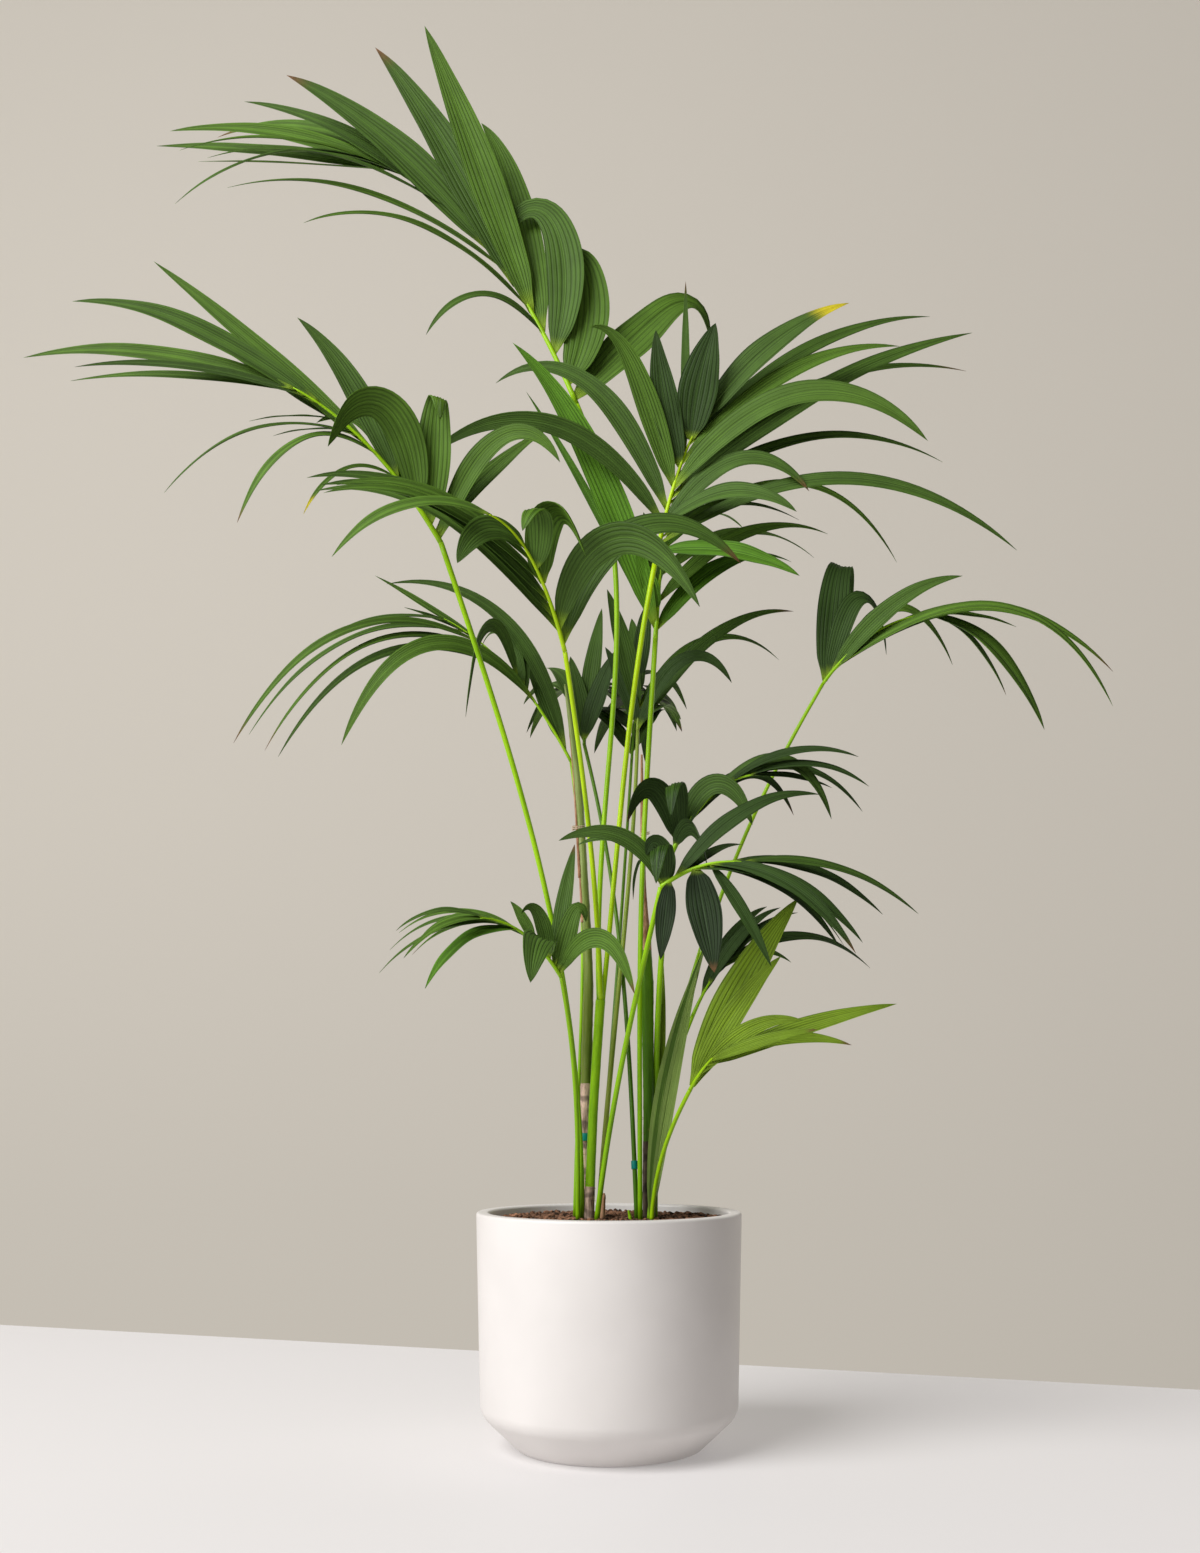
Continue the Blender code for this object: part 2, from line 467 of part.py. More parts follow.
def rounded(corner, before, after, radius, steps):
    """Points of a round that replaces a corner of a profile."""
    c, a, b = (Vector((*p, 0)) for p in (corner, before, after))
    into, out = (c - a).normalized(), (b - c).normalized()
    angle = into.angle(out)
    reach = radius * math.tan(angle / 2)
    start, end = c - into * reach, c + out * reach
    found = []
    for n in range(steps + 1):
        t = n / steps
        p = start * (1 - t) ** 2 + c * (2 * t * (1 - t)) + end * t * t
        found.append((p.x, p.y))
    return found


def build_pot():
    inner_foot = CREASE_RADIUS - WALL_AT_CREASE
    corners = [(0, 0), (BASE_RADIUS, 0), (CREASE_RADIUS, CREASE_HEIGHT), (RIM_RADIUS, POT_HEIGHT),
               (MOUTH_RADIUS, POT_HEIGHT), (inner_foot, CREASE_HEIGHT + 0.006),
               (BASE_RADIUS - 0.006, FLOOR_THICKNESS), (0, FLOOR_THICKNESS)]
    rounds = {1: (BASE_ROUND, 1), 2: (CREASE_ROUND, 2), 3: (RIM_ROUND, 2), 4: (RIM_ROUND, 2)}
    profile = []
    for n, corner in enumerate(corners):
        if n in rounds:
            radius, steps = rounds[n]
            profile += rounded(corner, corners[n - 1], corners[n + 1], radius, steps)
        else:
            profile.append(corner)
    turned("pot", profile, "pot")
    slope = (MOUTH_RADIUS - inner_foot) / (POT_HEIGHT - CREASE_HEIGHT - 0.006)
    top_radius = MOUTH_RADIUS - slope * (POT_HEIGHT - SOIL_TOP)
    turned("soil", [(0, FLOOR_THICKNESS + GAP), (BASE_RADIUS - 0.0065, FLOOR_THICKNESS + GAP),
                    (inner_foot - 0.0006, CREASE_HEIGHT + 0.006), (top_radius - 0.0006, SOIL_TOP - 0.004),
                    (top_radius - 0.012, SOIL_TOP), (0, SOIL_TOP)], "soil")


def stem_limb(stem):
    """Middle line and radii of a stem, bowed gently through its points."""
    corners = [Vector(p) for p in stem["path"]]
    corners[0].z += GAP
    path, radii = [], []
    for n in range(len(corners) - 1):
        before, after = corners[max(n - 1, 0)], corners[min(n + 2, len(corners) - 1)]
        for k in range(2):
            t = k / 2
            a, b = corners[n], corners[n + 1]
            bow = ((a - before) - (after - b)) * (t * (1 - t) * 0.25)
            path.append(a.lerp(b, t) + bow)
            radii.append(stem["radius"][n] * (1 - t) + stem["radius"][n + 1] * t)
    return path + [corners[-1]], radii + [stem["radius"][-1]]


def stalk_limb(frond):
    """Middle line and radii of a frond's stalk."""
    path = stalk_path(frond)
    foot, neck = frond["foot_radius"], frond["neck_radius"]
    return path, [foot + (neck - foot) * n / STALK_SPANS for n in range(STALK_SPANS + 1)]


def build_stems(solids):
    for name, stem in STEMS.items():
        path, radii = stem_limb(stem)
        if name == "stem_left":
            rings = limb(path, radii, STEM_SIDES, stem["depth"])
            rings[-1] = ring(path[-1], Vector((0, 0, 1)), radii[-1], STEM_SIDES, stem["depth"], True)
        else:
            rings = limb(path, radii, STEM_SIDES, stem["depth"], pointed=True)
        points, faces = shell(rings)
        add_object(name, points, faces, "stem", smooth=True)
        solids[name] = tree_of(points, faces)


def build_stalks(solids):
    for name, frond in FRONDS.items():
        path, radii = stalk_limb(frond)
        rings = limb(path, radii, STALK_SIDES)
        rings[-1] = ring(path[-1], toward(frond["neck_way"]), radii[-1], STALK_SIDES)
        points, faces = shell(rings)
        stalk = name.replace("frond", "stalk")
        add_object(stalk, points, faces, "stalk", smooth=True)
        solids[stalk] = tree_of(points, faces)


def leaflets(name, frond, rib, solids):
    """Rings of a frond's leaflets, each leaned aside until it touches nothing."""
    chance = random.Random(frond["seed"])
    own = []
    for rank in frond["ranks"]:
        for n in range(rank["count"]):
            t = n / max(rank["count"] - 1, 1)
            root = along(rib, spread(rank["at"], t))
            heading = spread(rank["heading"], t) + chance.uniform(-1.5, 1.5)
            lean = spread(rank["lean"], t) + chance.uniform(-1.5, 1.5)
            length = spread(rank["length"], t) * chance.uniform(0.98, 1.02)
            sag, face = spread(rank["sag"], t), spread(rank["face"], t) + chance.uniform(-6, 6)
            bend, turn = spread(rank.get("bend", 1.3), t), spread(rank.get("turn", 0), t)
            width = spread(rank["width"], t) / 1000
            folds = sag > FOLDS
            for nudge in NUDGES:
                path = grow(root, (heading, lean + nudge), length, sag, bend, turn)
                free = tree_of(*shell(blade(path, width, face, folds, CLEARANCE, 1)))
                if not any(free.overlap(solid) for solid in list(solids.values()) + own):
                    rings = blade(path, width, face, folds)
                    own.append(tree_of(*shell(rings[1:])))
                    yield rings
                    break
            else:
                print("left out:", name, round(heading), round(length, 2))


def welded(mesh):
    """Merges points that all but touch; true if every edge still joins two faces."""
    work = bmesh.new()
    work.from_mesh(mesh)
    bmesh.ops.remove_doubles(work, verts=work.verts, dist=WELD)
    bmesh.ops.dissolve_degenerate(work, dist=WELD, edges=work.edges)
    whole = all(len(edge.link_faces) == 2 for edge in work.edges)
    work.to_mesh(mesh)
    work.free()
    return whole


def union_of(name, base, leaves, width):
    """Rib and leaflets as one object; the leaflets are made a little wider or narrower."""
    body = add_object(name, *base, "frond")
    group = bpy.data.collections.new(name + "_leaflets")
    for n, leaf in enumerate(leaves):
        rings = [[p.lerp(sum(r, Vector()) / len(r), 1 - width) for p in r] for r in leaf]
        made = add_object(f"{name}_leaflet_{n}", *shell(rings), "frond")
        bpy.context.scene.collection.objects.unlink(made)
        group.objects.link(made)
    bpy.context.scene.collection.children.link(group)
    union = body.modifiers.new("union", "BOOLEAN")
    union.operation = "UNION"
    union.operand_type = "COLLECTION"
    union.collection = group
    union.solver = "MANIFOLD"
    joined = bpy.data.meshes.new_from_object(body.evaluated_get(bpy.context.evaluated_depsgraph_get()))
    body.modifiers.clear()
    body.data = joined
    joined.materials.clear()
    joined.materials.append(bpy.data.materials[name])
    for made in list(group.objects):
        bpy.data.objects.remove(made)
    bpy.data.collections.remove(group)
    return body


def build_frond(name, frond, solids):
    start = Vector(frond["neck"]) + toward(frond["neck_way"]) * GAP
    rib = grow(start, frond.get("rib_way", frond["neck_way"]), frond["rib"], frond["rib_sag"], 1.0)
    path = [along(rib, n / RIB_SPANS) for n in range(RIB_SPANS + 1)]
    radii = [frond["neck_radius"] * (1 - 0.55 * n / RIB_SPANS) for n in range(RIB_SPANS + 1)]
    rings = limb(path, radii, RIB_SIDES, level_foot=False, pointed=True)
    rings[0] = ring(path[0], toward(frond["neck_way"]), radii[0], RIB_SIDES)
    base = shell(rings)
    leaves = list(leaflets(name, frond, rib, solids))
    for width in WIDTH_TRIES:
        body = union_of(name, base, leaves, width)
        if welded(body.data) or width == WIDTH_TRIES[-1]:
            break
        bpy.data.materials.remove(bpy.data.materials[name])
        bpy.data.objects.remove(body)
    all_points, all_faces = list(base[0]), list(base[1])
    for leaf in leaves:
        points, faces = shell(leaf)
        start = len(all_points)
        all_points += points
        all_faces += [tuple(i + start for i in face) for face in faces]
    solids[name] = tree_of(all_points, all_faces)


def build_tapes():
    for name, tape in TAPES.items():
        around = tape["around"]
        path, radii = stem_limb(STEMS[around]) if around in STEMS else stalk_limb(FRONDS[around])
        n = max(i for i in range(len(path) - 1) if path[i].z <= tape["height"])
        t = (tape["height"] - path[n].z) / (path[n + 1].z - path[n].z)
        middle, way = path[n].lerp(path[n + 1], t), (path[n + 1] - path[n]).normalized()
        inner = (radii[n] * (1 - t) + radii[n + 1] * t + GAP) / math.cos(math.pi / TAPE_SIDES)
        rings = [ring(middle + way * (rise * tape["tall"]), way, inner + out, TAPE_SIDES)
                 for out, rise in ((0, -0.5), (tape["thick"], -0.5), (tape["thick"], 0.5), (0, 0.5))]
        count = TAPE_SIDES * 4
        faces = [(TAPE_SIDES * k + i, TAPE_SIDES * k + (i + 1) % TAPE_SIDES,
                  (TAPE_SIDES * (k + 1) + (i + 1) % TAPE_SIDES) % count, (TAPE_SIDES * (k + 1) + i) % count)
                 for k in range(4) for i in range(TAPE_SIDES)]
        add_object(name, [p for r in rings for p in r], faces, "tape", smooth=False)


def build_stubs(solids):
    for name, stub in STUBS.items():
        foot, top = Vector((*stub["foot"], SOIL_TOP + GAP)), Vector((*stub["top"], SOIL_TOP + stub["height"]))
        path = [foot, foot.lerp(top, 0.5), top]
        rings = limb(path, (stub["radius"], stub["radius"] * 0.9, stub["radius"] * 0.55), 6, pointed=True)
        points, faces = shell(rings)
        add_object(name, points, faces, "dead", smooth=True)
        solids[name] = tree_of(points, faces)


def main():
    for thing in list(bpy.data.objects):
        bpy.data.objects.remove(thing)
    solids = {}
    build_pot()
    build_stems(solids)
    build_stalks(solids)
    build_stubs(solids)
    build_tapes()
    for name, frond in FRONDS.items():
        build_frond(name, frond, solids)


main()
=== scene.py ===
import math
import random

import bmesh
import bpy
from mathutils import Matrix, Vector, noise
from mathutils.bvhtree import BVHTree


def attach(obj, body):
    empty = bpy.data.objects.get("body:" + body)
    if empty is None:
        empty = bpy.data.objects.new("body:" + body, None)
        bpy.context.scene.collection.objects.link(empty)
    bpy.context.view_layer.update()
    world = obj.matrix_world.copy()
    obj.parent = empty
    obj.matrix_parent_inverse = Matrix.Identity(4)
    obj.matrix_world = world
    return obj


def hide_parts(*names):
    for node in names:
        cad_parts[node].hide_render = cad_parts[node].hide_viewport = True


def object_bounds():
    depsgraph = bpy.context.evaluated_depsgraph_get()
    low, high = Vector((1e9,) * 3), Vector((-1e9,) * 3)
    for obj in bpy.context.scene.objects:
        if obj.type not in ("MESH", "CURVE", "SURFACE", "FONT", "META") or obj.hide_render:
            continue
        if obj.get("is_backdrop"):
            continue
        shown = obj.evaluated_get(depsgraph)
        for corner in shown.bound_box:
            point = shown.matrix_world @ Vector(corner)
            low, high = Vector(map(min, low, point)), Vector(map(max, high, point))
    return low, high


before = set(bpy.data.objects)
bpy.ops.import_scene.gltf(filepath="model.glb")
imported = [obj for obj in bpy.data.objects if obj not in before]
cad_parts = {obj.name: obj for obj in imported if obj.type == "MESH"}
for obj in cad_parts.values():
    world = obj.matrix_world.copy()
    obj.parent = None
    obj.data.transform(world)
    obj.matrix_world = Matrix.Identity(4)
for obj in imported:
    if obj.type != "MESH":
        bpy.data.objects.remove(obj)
solidLow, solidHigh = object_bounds()

gap = 0.0003           # metres between the solids that rest on one another
growthSteps = 72       # steps in which a rib or leaflet grows


def toward(way):  # unit vector of a heading (0 right, 90 up, 180 left) and a lean to the back
    heading, lean = (math.radians(a) for a in way)
    return Vector((math.cos(heading) * math.cos(lean), math.sin(lean),
                   math.sin(heading) * math.cos(lean)))


def spread(keys, t):  # value at t of keys spaced evenly, or of one number
    if not isinstance(keys, tuple):
        return keys
    place = t * (len(keys) - 1)
    n = min(int(place), len(keys) - 2) if len(keys) > 1 else 0
    return keys[n] + (keys[min(n + 1, len(keys) - 1)] - keys[n]) * (place - n)


def eased(keys, values, t):  # smooth curve through values at the places keys
    n = max(i for i in range(len(keys) - 1) if keys[i] <= t or i == 0)
    a, b = keys[n], keys[n + 1]
    x = min(max((t - a) / (b - a), 0), 1)
    slopes = []
    for i in (n, n + 1):
        low, high = max(i - 1, 0), min(i + 1, len(keys) - 1)
        slopes.append((values[high] - values[low]) / (keys[high] - keys[low]) * (b - a))
    return ((2 * x ** 3 - 3 * x ** 2 + 1) * values[n] + (x ** 3 - 2 * x ** 2 + x) * slopes[0]
            + (3 * x ** 2 - 2 * x ** 3) * values[n + 1] + (x ** 3 - x ** 2) * slopes[1])


def grow(start, way, length, sag, bend, turn=0):  # a rib or leaflet that sags as it grows
    points = [Vector(start)]
    for n in range(growthSteps):
        t = (n + 0.5) / growthSteps
        step = toward((way[0] + turn * t, way[1])) - Vector((0, 0, sag)) * t ** bend
        points.append(points[-1] + step.normalized() * (length / growthSteps))
    return points


def along(points, t):
    place = min(max(t, 0), 1) * (len(points) - 1)
    n = min(int(place), len(points) - 2)
    return points[n].lerp(points[n + 1], place - n)


def wayAt(points, t):
    return (along(points, t + 0.012) - along(points, t - 0.012)).normalized()


def framesAlong(points, first, places):  # centre, way, across and up at each place, without twist
    found, across = [], first
    for t in places:
        way = wayAt(points, t)
        across = (across - way * across.dot(way)).normalized()
        found.append((along(points, t), way, across, across.cross(way)))
    return found


def wrappedGrid(mesh, rows, columns, place, number=0):
    # a grid whose points go to place(row, column); its UV runs along it (x, from the whole
    # number on) and across it (y)
    made = bmesh.ops.create_grid(mesh, x_segments=rows, y_segments=columns, size=1)["verts"]
    faces = {face for vert in made for face in vert.link_faces}
    spots = {vert: (round((vert.co.x + 1) / 2 * rows), round((vert.co.y + 1) / 2 * columns))
             for vert in made}
    layer = mesh.loops.layers.uv.get("UVMap") or mesh.loops.layers.uv.new("UVMap")
    for face in faces:
        for loop in face.loops:
            row, column = spots[loop.vert]
            loop[layer].uv = (number + 0.01 + 0.98 * row / rows, column / columns)
    for vert, spot in spots.items():
        vert.co = place(*spot)
    return made, faces


def tube(mesh, points, first, radii, sides, shape=None, rows=40, slot=0, capped=True):
    # limb round a path; shape(t, angle) scales its radius
    places = [n / rows for n in range(rows + 1)]
    frames = framesAlong(points, first, places)
    last = [p.copy() for p in (points[0], points[-1])]

    def place(row, column):
        centre, way, across, up = frames[row]
        angle = math.tau * column / sides
        radius = radii(places[row]) * (shape(places[row], angle) if shape else 1)
        return centre + across * (math.cos(angle) * radius) + up * (math.sin(angle) * radius)

    verts, faces = wrappedGrid(mesh, rows, sides, place)
    bmesh.ops.remove_doubles(mesh, verts=verts, dist=0.000004)
    edges = [edge for edge in mesh.edges if edge.is_boundary
             and all((v.co - last[0]).length < 0.05 or (v.co - last[1]).length < 0.05
                     for v in edge.verts)]
    if capped and edges:
        faces = set(faces) | set(bmesh.ops.holes_fill(mesh, edges=edges, sides=sides)["faces"])
    live = [face for face in faces if face.is_valid]
    bmesh.ops.recalc_face_normals(mesh, faces=live)
    for face in live:
        face.material_index = slot
        face.smooth = True
    return live


def addPiece(name, mesh, materials, stands=()):
    data = bpy.data.meshes.new(name)
    mesh.to_mesh(data)
    mesh.free()
    for material in materials:
        data.materials.append(material)
    piece = bpy.data.objects.new(name, data)
    bpy.context.scene.collection.objects.link(piece)
    if stands is not None:
        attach(piece, "root")
        if stands:
            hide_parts(*stands)
    return piece


def addNode(tree, kind, settings=None, **inputs):  # inputs: a socket's name with _ for spaces
    node = tree.nodes.new(kind)
    for key, value in (settings or {}).items():
        setattr(node, key, value)
    for key, value in inputs.items():
        socket = node.inputs[int(key[1:]) if key[0] == "i" and key[1:].isdigit() else key.replace("_", " ")]
        if isinstance(value, bpy.types.NodeSocket):
            tree.links.new(value, socket)
        else:
            socket.default_value = value
    return node


def sums(tree, operation, a, b=0.0, c=0.0, clamp=False):
    return addNode(tree, "ShaderNodeMath", dict(operation=operation, use_clamp=clamp),
                   i0=a, i1=b, i2=c).outputs[0]


def stepped(tree, value, low, high):  # 0 below low, 1 above high, smooth between
    return addNode(tree, "ShaderNodeMapRange", dict(interpolation_type="SMOOTHSTEP"),
                   Value=value, From_Min=low, From_Max=high).outputs["Result"]


def mixed(tree, share, a, b, blend="MIX"):
    return addNode(tree, "ShaderNodeMix", dict(data_type="RGBA", blend_type=blend),
                   i0=share, i6=a if not isinstance(a, tuple) else (*a, 1),
                   i7=b if not isinstance(b, tuple) else (*b, 1)).outputs[2]


def noiseAt(tree, vector, scale, detail=3.0, roughness=0.55):
    return addNode(tree, "ShaderNodeTexNoise", Vector=vector, Scale=scale, Detail=detail,
                   Roughness=roughness).outputs["Fac"]


def stretched(tree, vector, scale):
    return addNode(tree, "ShaderNodeMapping", Vector=vector, Scale=scale).outputs[0]


def newMaterial(name, roughness, specular=0.5):
    material = bpy.data.materials.new(name)
    material.use_nodes = True
    tree = material.node_tree
    shader = tree.nodes["Principled BSDF"]
    shader.inputs["Roughness"].default_value = roughness
    shader.inputs["Specular IOR Level"].default_value = specular
    return material, tree, shader


def bumped(tree, shader, height, distance, strength=1.0):
    bump = addNode(tree, "ShaderNodeBump", Height=height, Distance=distance, Strength=strength)
    tree.links.new(bump.outputs[0], shader.inputs["Normal"])


def ownMap(tree):  # the piece's UV, its whole number, its share along and its share across
    uv = addNode(tree, "ShaderNodeUVMap", dict(uv_map="UVMap")).outputs[0]
    parts = addNode(tree, "ShaderNodeSeparateXYZ", i0=uv)
    number = sums(tree, "FLOOR", parts.outputs[0])
    share = sums(tree, "DIVIDE", sums(tree, "SUBTRACT", sums(tree, "FRACT", parts.outputs[0]), 0.01), 0.98)
    return uv, number, share, parts.outputs[1]


def leafMaterial(name, dark, light, roughness, specular, tip=None, tipFrom=0.9, stalkColour=(0.26, 0.40, 0.02)):
    # blade of a leaflet: grooves with painted shade and pale streaks run along it, and a tip may be dry
    material, tree, shader = newMaterial(name, roughness, specular)
    uv, number, share, across = ownMap(tree)
    place = addNode(tree, "ShaderNodeTexCoord").outputs["Object"]
    own = addNode(tree, "ShaderNodeTexWhiteNoise", dict(noise_dimensions="1D"), W=number).outputs["Value"]
    veins = sums(tree, "SINE", sums(tree, "MULTIPLY", across, math.tau * 8))
    grooveDepthAndShade = stepped(tree, veins, 0.1, 0.95)
    fine = noiseAt(tree, stretched(tree, uv, (1.3, 30.0, 1.0)), 1.0, 5.0, 0.65)
    broad = noiseAt(tree, place, 26.0, 2.0)
    shade = fine
    for part, weight in ((broad, 0.40), (own, 0.20), (share, 0.10)):
        shade = sums(tree, "MULTIPLY_ADD", part, weight, shade)
    colour = mixed(tree, stepped(tree, shade, 0.63, 1.04), dark, light)
    off = sums(tree, "ABSOLUTE", sums(tree, "SUBTRACT", across, 0.5))
    midrib = sums(tree, "SUBTRACT", 1.0, stepped(tree, off, 0.008, 0.03))
    # painted shade: the colour darkens towards 0.7 of the dark colour in the grooves, which the bump also sinks
    colour = mixed(tree, sums(tree, "MULTIPLY", grooveDepthAndShade, 0.68), colour, tuple(0.7 * c for c in dark))
    colour = mixed(tree, sums(tree, "MULTIPLY", midrib, 0.55), colour, tuple(1.3 * c + 0.01 for c in light))
    root = sums(tree, "SUBTRACT", 1.0, stepped(tree, share, 0.0, 0.09))
    colour = mixed(tree, root, colour, stalkColour)
    if tip:
        ragged = sums(tree, "MULTIPLY_ADD", sums(tree, "SUBTRACT", fine, 0.5), 0.22, share)
        colour = mixed(tree, stepped(tree, ragged, tipFrom - 0.05, tipFrom + 0.05), colour, tip)
    tree.links.new(colour, shader.inputs["Base Color"])
    relief = sums(tree, "MULTIPLY_ADD", grooveDepthAndShade, -0.8, fine)
    bumped(tree, shader, relief, 0.0009, 0.8)
    return material


def stalkMaterial(name, low, high, turnsAt, roughness=0.36):
    # smooth skin with faint streaks along it, low colour near the soil and high colour above turnsAt metres
    material, tree, shader = newMaterial(name, roughness, 0.22)
    uv = ownMap(tree)[0]
    place = addNode(tree, "ShaderNodeTexCoord").outputs["Object"]
    height = addNode(tree, "ShaderNodeSeparateXYZ", i0=place).outputs[2]
    streaks = noiseAt(tree, stretched(tree, uv, (9.0, 16.0, 1.0)), 1.0, 4.0, 0.65)
    cloudy = noiseAt(tree, place, 11.0, 2.0)
    colour = mixed(tree, stepped(tree, height, turnsAt - 0.16, turnsAt + 0.16), low, high)
    deeper = mixed(tree, 1.0, colour, (0.62, 0.70, 0.55), "MULTIPLY")
    colour = mixed(tree, stepped(tree, sums(tree, "MULTIPLY_ADD", cloudy, 0.6, streaks), 0.55, 1.0), deeper, colour)
    tree.links.new(colour, shader.inputs["Base Color"])
    bumped(tree, shader, streaks, 0.0003, 0.4)
    return material


def barkMaterial(name, dark, light, roughness, relief=0.0012, rings=0.0):
    # fibrous bark, streaked along its height
    material, tree, shader = newMaterial(name, roughness, 0.25)
    place = addNode(tree, "ShaderNodeTexCoord").outputs["Object"]
    fibres = noiseAt(tree, stretched(tree, place, (1.0, 1.0, 0.12)), 420.0, 5.0, 0.7)
    patches = noiseAt(tree, stretched(tree, place, (1.0, 1.0, 0.5)), 60.0, 3.0)
    shade = sums(tree, "ADD", sums(tree, "MULTIPLY", fibres, 0.6), sums(tree, "MULTIPLY", patches, 0.6))
    colour = mixed(tree, stepped(tree, shade, 0.42, 0.78), dark, light)
    if rings:
        wave = addNode(tree, "ShaderNodeTexWave", dict(bands_direction="Z"), Vector=place, Scale=rings,
                       Distortion=7.0, Detail=3.0, Detail_Scale=1.4).outputs["Fac"]
        colour = mixed(tree, sums(tree, "MULTIPLY", stepped(tree, wave, 0.72, 0.99), 0.6), colour,
                       tuple(c * 0.35 for c in dark))
        shade = sums(tree, "SUBTRACT", shade, sums(tree, "MULTIPLY", wave, 0.4))
    tree.links.new(colour, shader.inputs["Base Color"])
    bumped(tree, shader, shade, relief, 0.8)
    return material


def potMaterial(name):
    material, tree, shader = newMaterial(name, 0.36, 0.5)
    place = addNode(tree, "ShaderNodeTexCoord").outputs["Object"]
    cloudy = noiseAt(tree, place, 7.0, 3.0)
    grains = noiseAt(tree, place, 700.0, 2.0)
    colour = mixed(tree, stepped(tree, cloudy, 0.3, 0.7), (0.700, 0.668, 0.646), (0.745, 0.712, 0.690))
    tree.links.new(colour, shader.inputs["Base Color"])
    tree.links.new(sums(tree, "ADD", 0.33, sums(tree, "MULTIPLY", grains, 0.10)), shader.inputs["Roughness"])
    bumped(tree, shader, sums(tree, "ADD", sums(tree, "MULTIPLY", grains, 0.25), cloudy), 0.0006, 0.25)
    return material


def soilMaterial(name, dark, light):
    material, tree, shader = newMaterial(name, 0.9, 0.2)
    place = addNode(tree, "ShaderNodeTexCoord").outputs["Object"]
    coarse = noiseAt(tree, place, 240.0, 5.0, 0.7)
    patches = noiseAt(tree, place, 50.0, 3.0)
    shade = sums(tree, "ADD", sums(tree, "MULTIPLY", coarse, 0.6), sums(tree, "MULTIPLY", patches, 0.5))
    tree.links.new(mixed(tree, stepped(tree, shade, 0.42, 0.72), dark, light), shader.inputs["Base Color"])
    bumped(tree, shader, coarse, 0.0015, 0.9)
    return material


finishes = {
    "pot": potMaterial("satinWhitePot"),
    "soil": soilMaterial("darkPeat", (0.008, 0.004, 0.002), (0.070, 0.032, 0.017)),
    "crumb": soilMaterial("peatCrumbs", (0.010, 0.005, 0.003), (0.42, 0.21, 0.12)),
    # partly painted light: ringedBark's light colour is the pale fibre's own colour lifted about twice, to make up for
    # the shade on the trunk
    "bark": barkMaterial("ringedBark", (0.095, 0.060, 0.042), (0.78, 0.56, 0.43), 0.8, rings=11.0),
    "stemSkin": stalkMaterial("stemSkin", (0.15, 0.20, 0.030), (0.30, 0.37, 0.110), 0.66),
    "drySheath": barkMaterial("drySheath", (0.20, 0.075, 0.030), (0.58, 0.34, 0.20), 0.7, 0.0008),
    "stalkLime": stalkMaterial("stalkLime", (0.34, 0.58, 0.003), (0.52, 0.76, 0.006), 0.55),
    "stalkGreen": stalkMaterial("stalkGreen", (0.25, 0.50, 0.004), (0.34, 0.62, 0.008), 0.55),
    # painted light: stalkOlive's low colour is lighter than its high one, lifted to make up for the shade on the
    # stalk's lower part
    "stalkOlive": stalkMaterial("stalkOlive", (0.55, 0.60, 0.130), (0.30, 0.40, 0.050), 0.42),
    "stalkDark": stalkMaterial("stalkDark", (0.070, 0.18, 0.006), (0.12, 0.26, 0.012), 0.55),
    "darkBark": barkMaterial("darkBark", (0.018, 0.013, 0.008), (0.11, 0.080, 0.052), 0.8, rings=9.0),
    "tape": stalkMaterial("tealTape", (0.0, 0.24, 0.21), (0.0, 0.24, 0.21), 0.3, 0.5),
    "tie": barkMaterial("paleTwine", (0.50, 0.36, 0.26), (0.80, 0.68, 0.54), 0.8, 0.0003),
}

# blade colours: dark and light of the upper side
leafTints = {
    "dark": ((0.003, 0.012, 0.001), (0.022, 0.058, 0.007)),
    "deep": ((0.006, 0.022, 0.001), (0.052, 0.124, 0.008)),
    "mid": ((0.014, 0.042, 0.002), (0.110, 0.235, 0.016)),
    "fresh": ((0.025, 0.070, 0.002), (0.150, 0.310, 0.018)),
    "bright": ((0.036, 0.125, 0.001), (0.150, 0.370, 0.008)),
    # pale: partly the paler colour of young folded blades, partly painted light, lifted to make up for the shade on
    # the spear blades
    "pale": ((0.085, 0.180, 0.025), (0.400, 0.560, 0.120)),
    "young": ((0.070, 0.160, 0.001), (0.330, 0.500, 0.012)),
}
leafSlots = []
for tint, (dark, light) in leafTints.items():
    under = tuple(0.55 * (a + b) + c for a, b, c in zip(dark, light, (0.012, 0.014, 0.010)))
    for ending, tip, tipFrom in (("", None, 0.9), ("Yellow", (0.60, 0.50, 0.02), 0.84),
                                 ("Brown", (0.20, 0.10, 0.04), 0.94)):
        leafSlots.append((tint + ending,
                          leafMaterial(f"{tint}Blade{ending}", dark, light, 0.40, 0.26, tip, tipFrom)))
        leafSlots.append((None, leafMaterial(f"{tint}Underside{ending}", tuple(0.6 * c for c in under), under,
                                             0.60, 0.20, tip, tipFrom)))
slotOfTint = {name: n for n, (name, _) in enumerate(leafSlots) if name}
bladeMaterials = [material for _, material in leafSlots]
print("finishes:", len(finishes) + len(bladeMaterials))


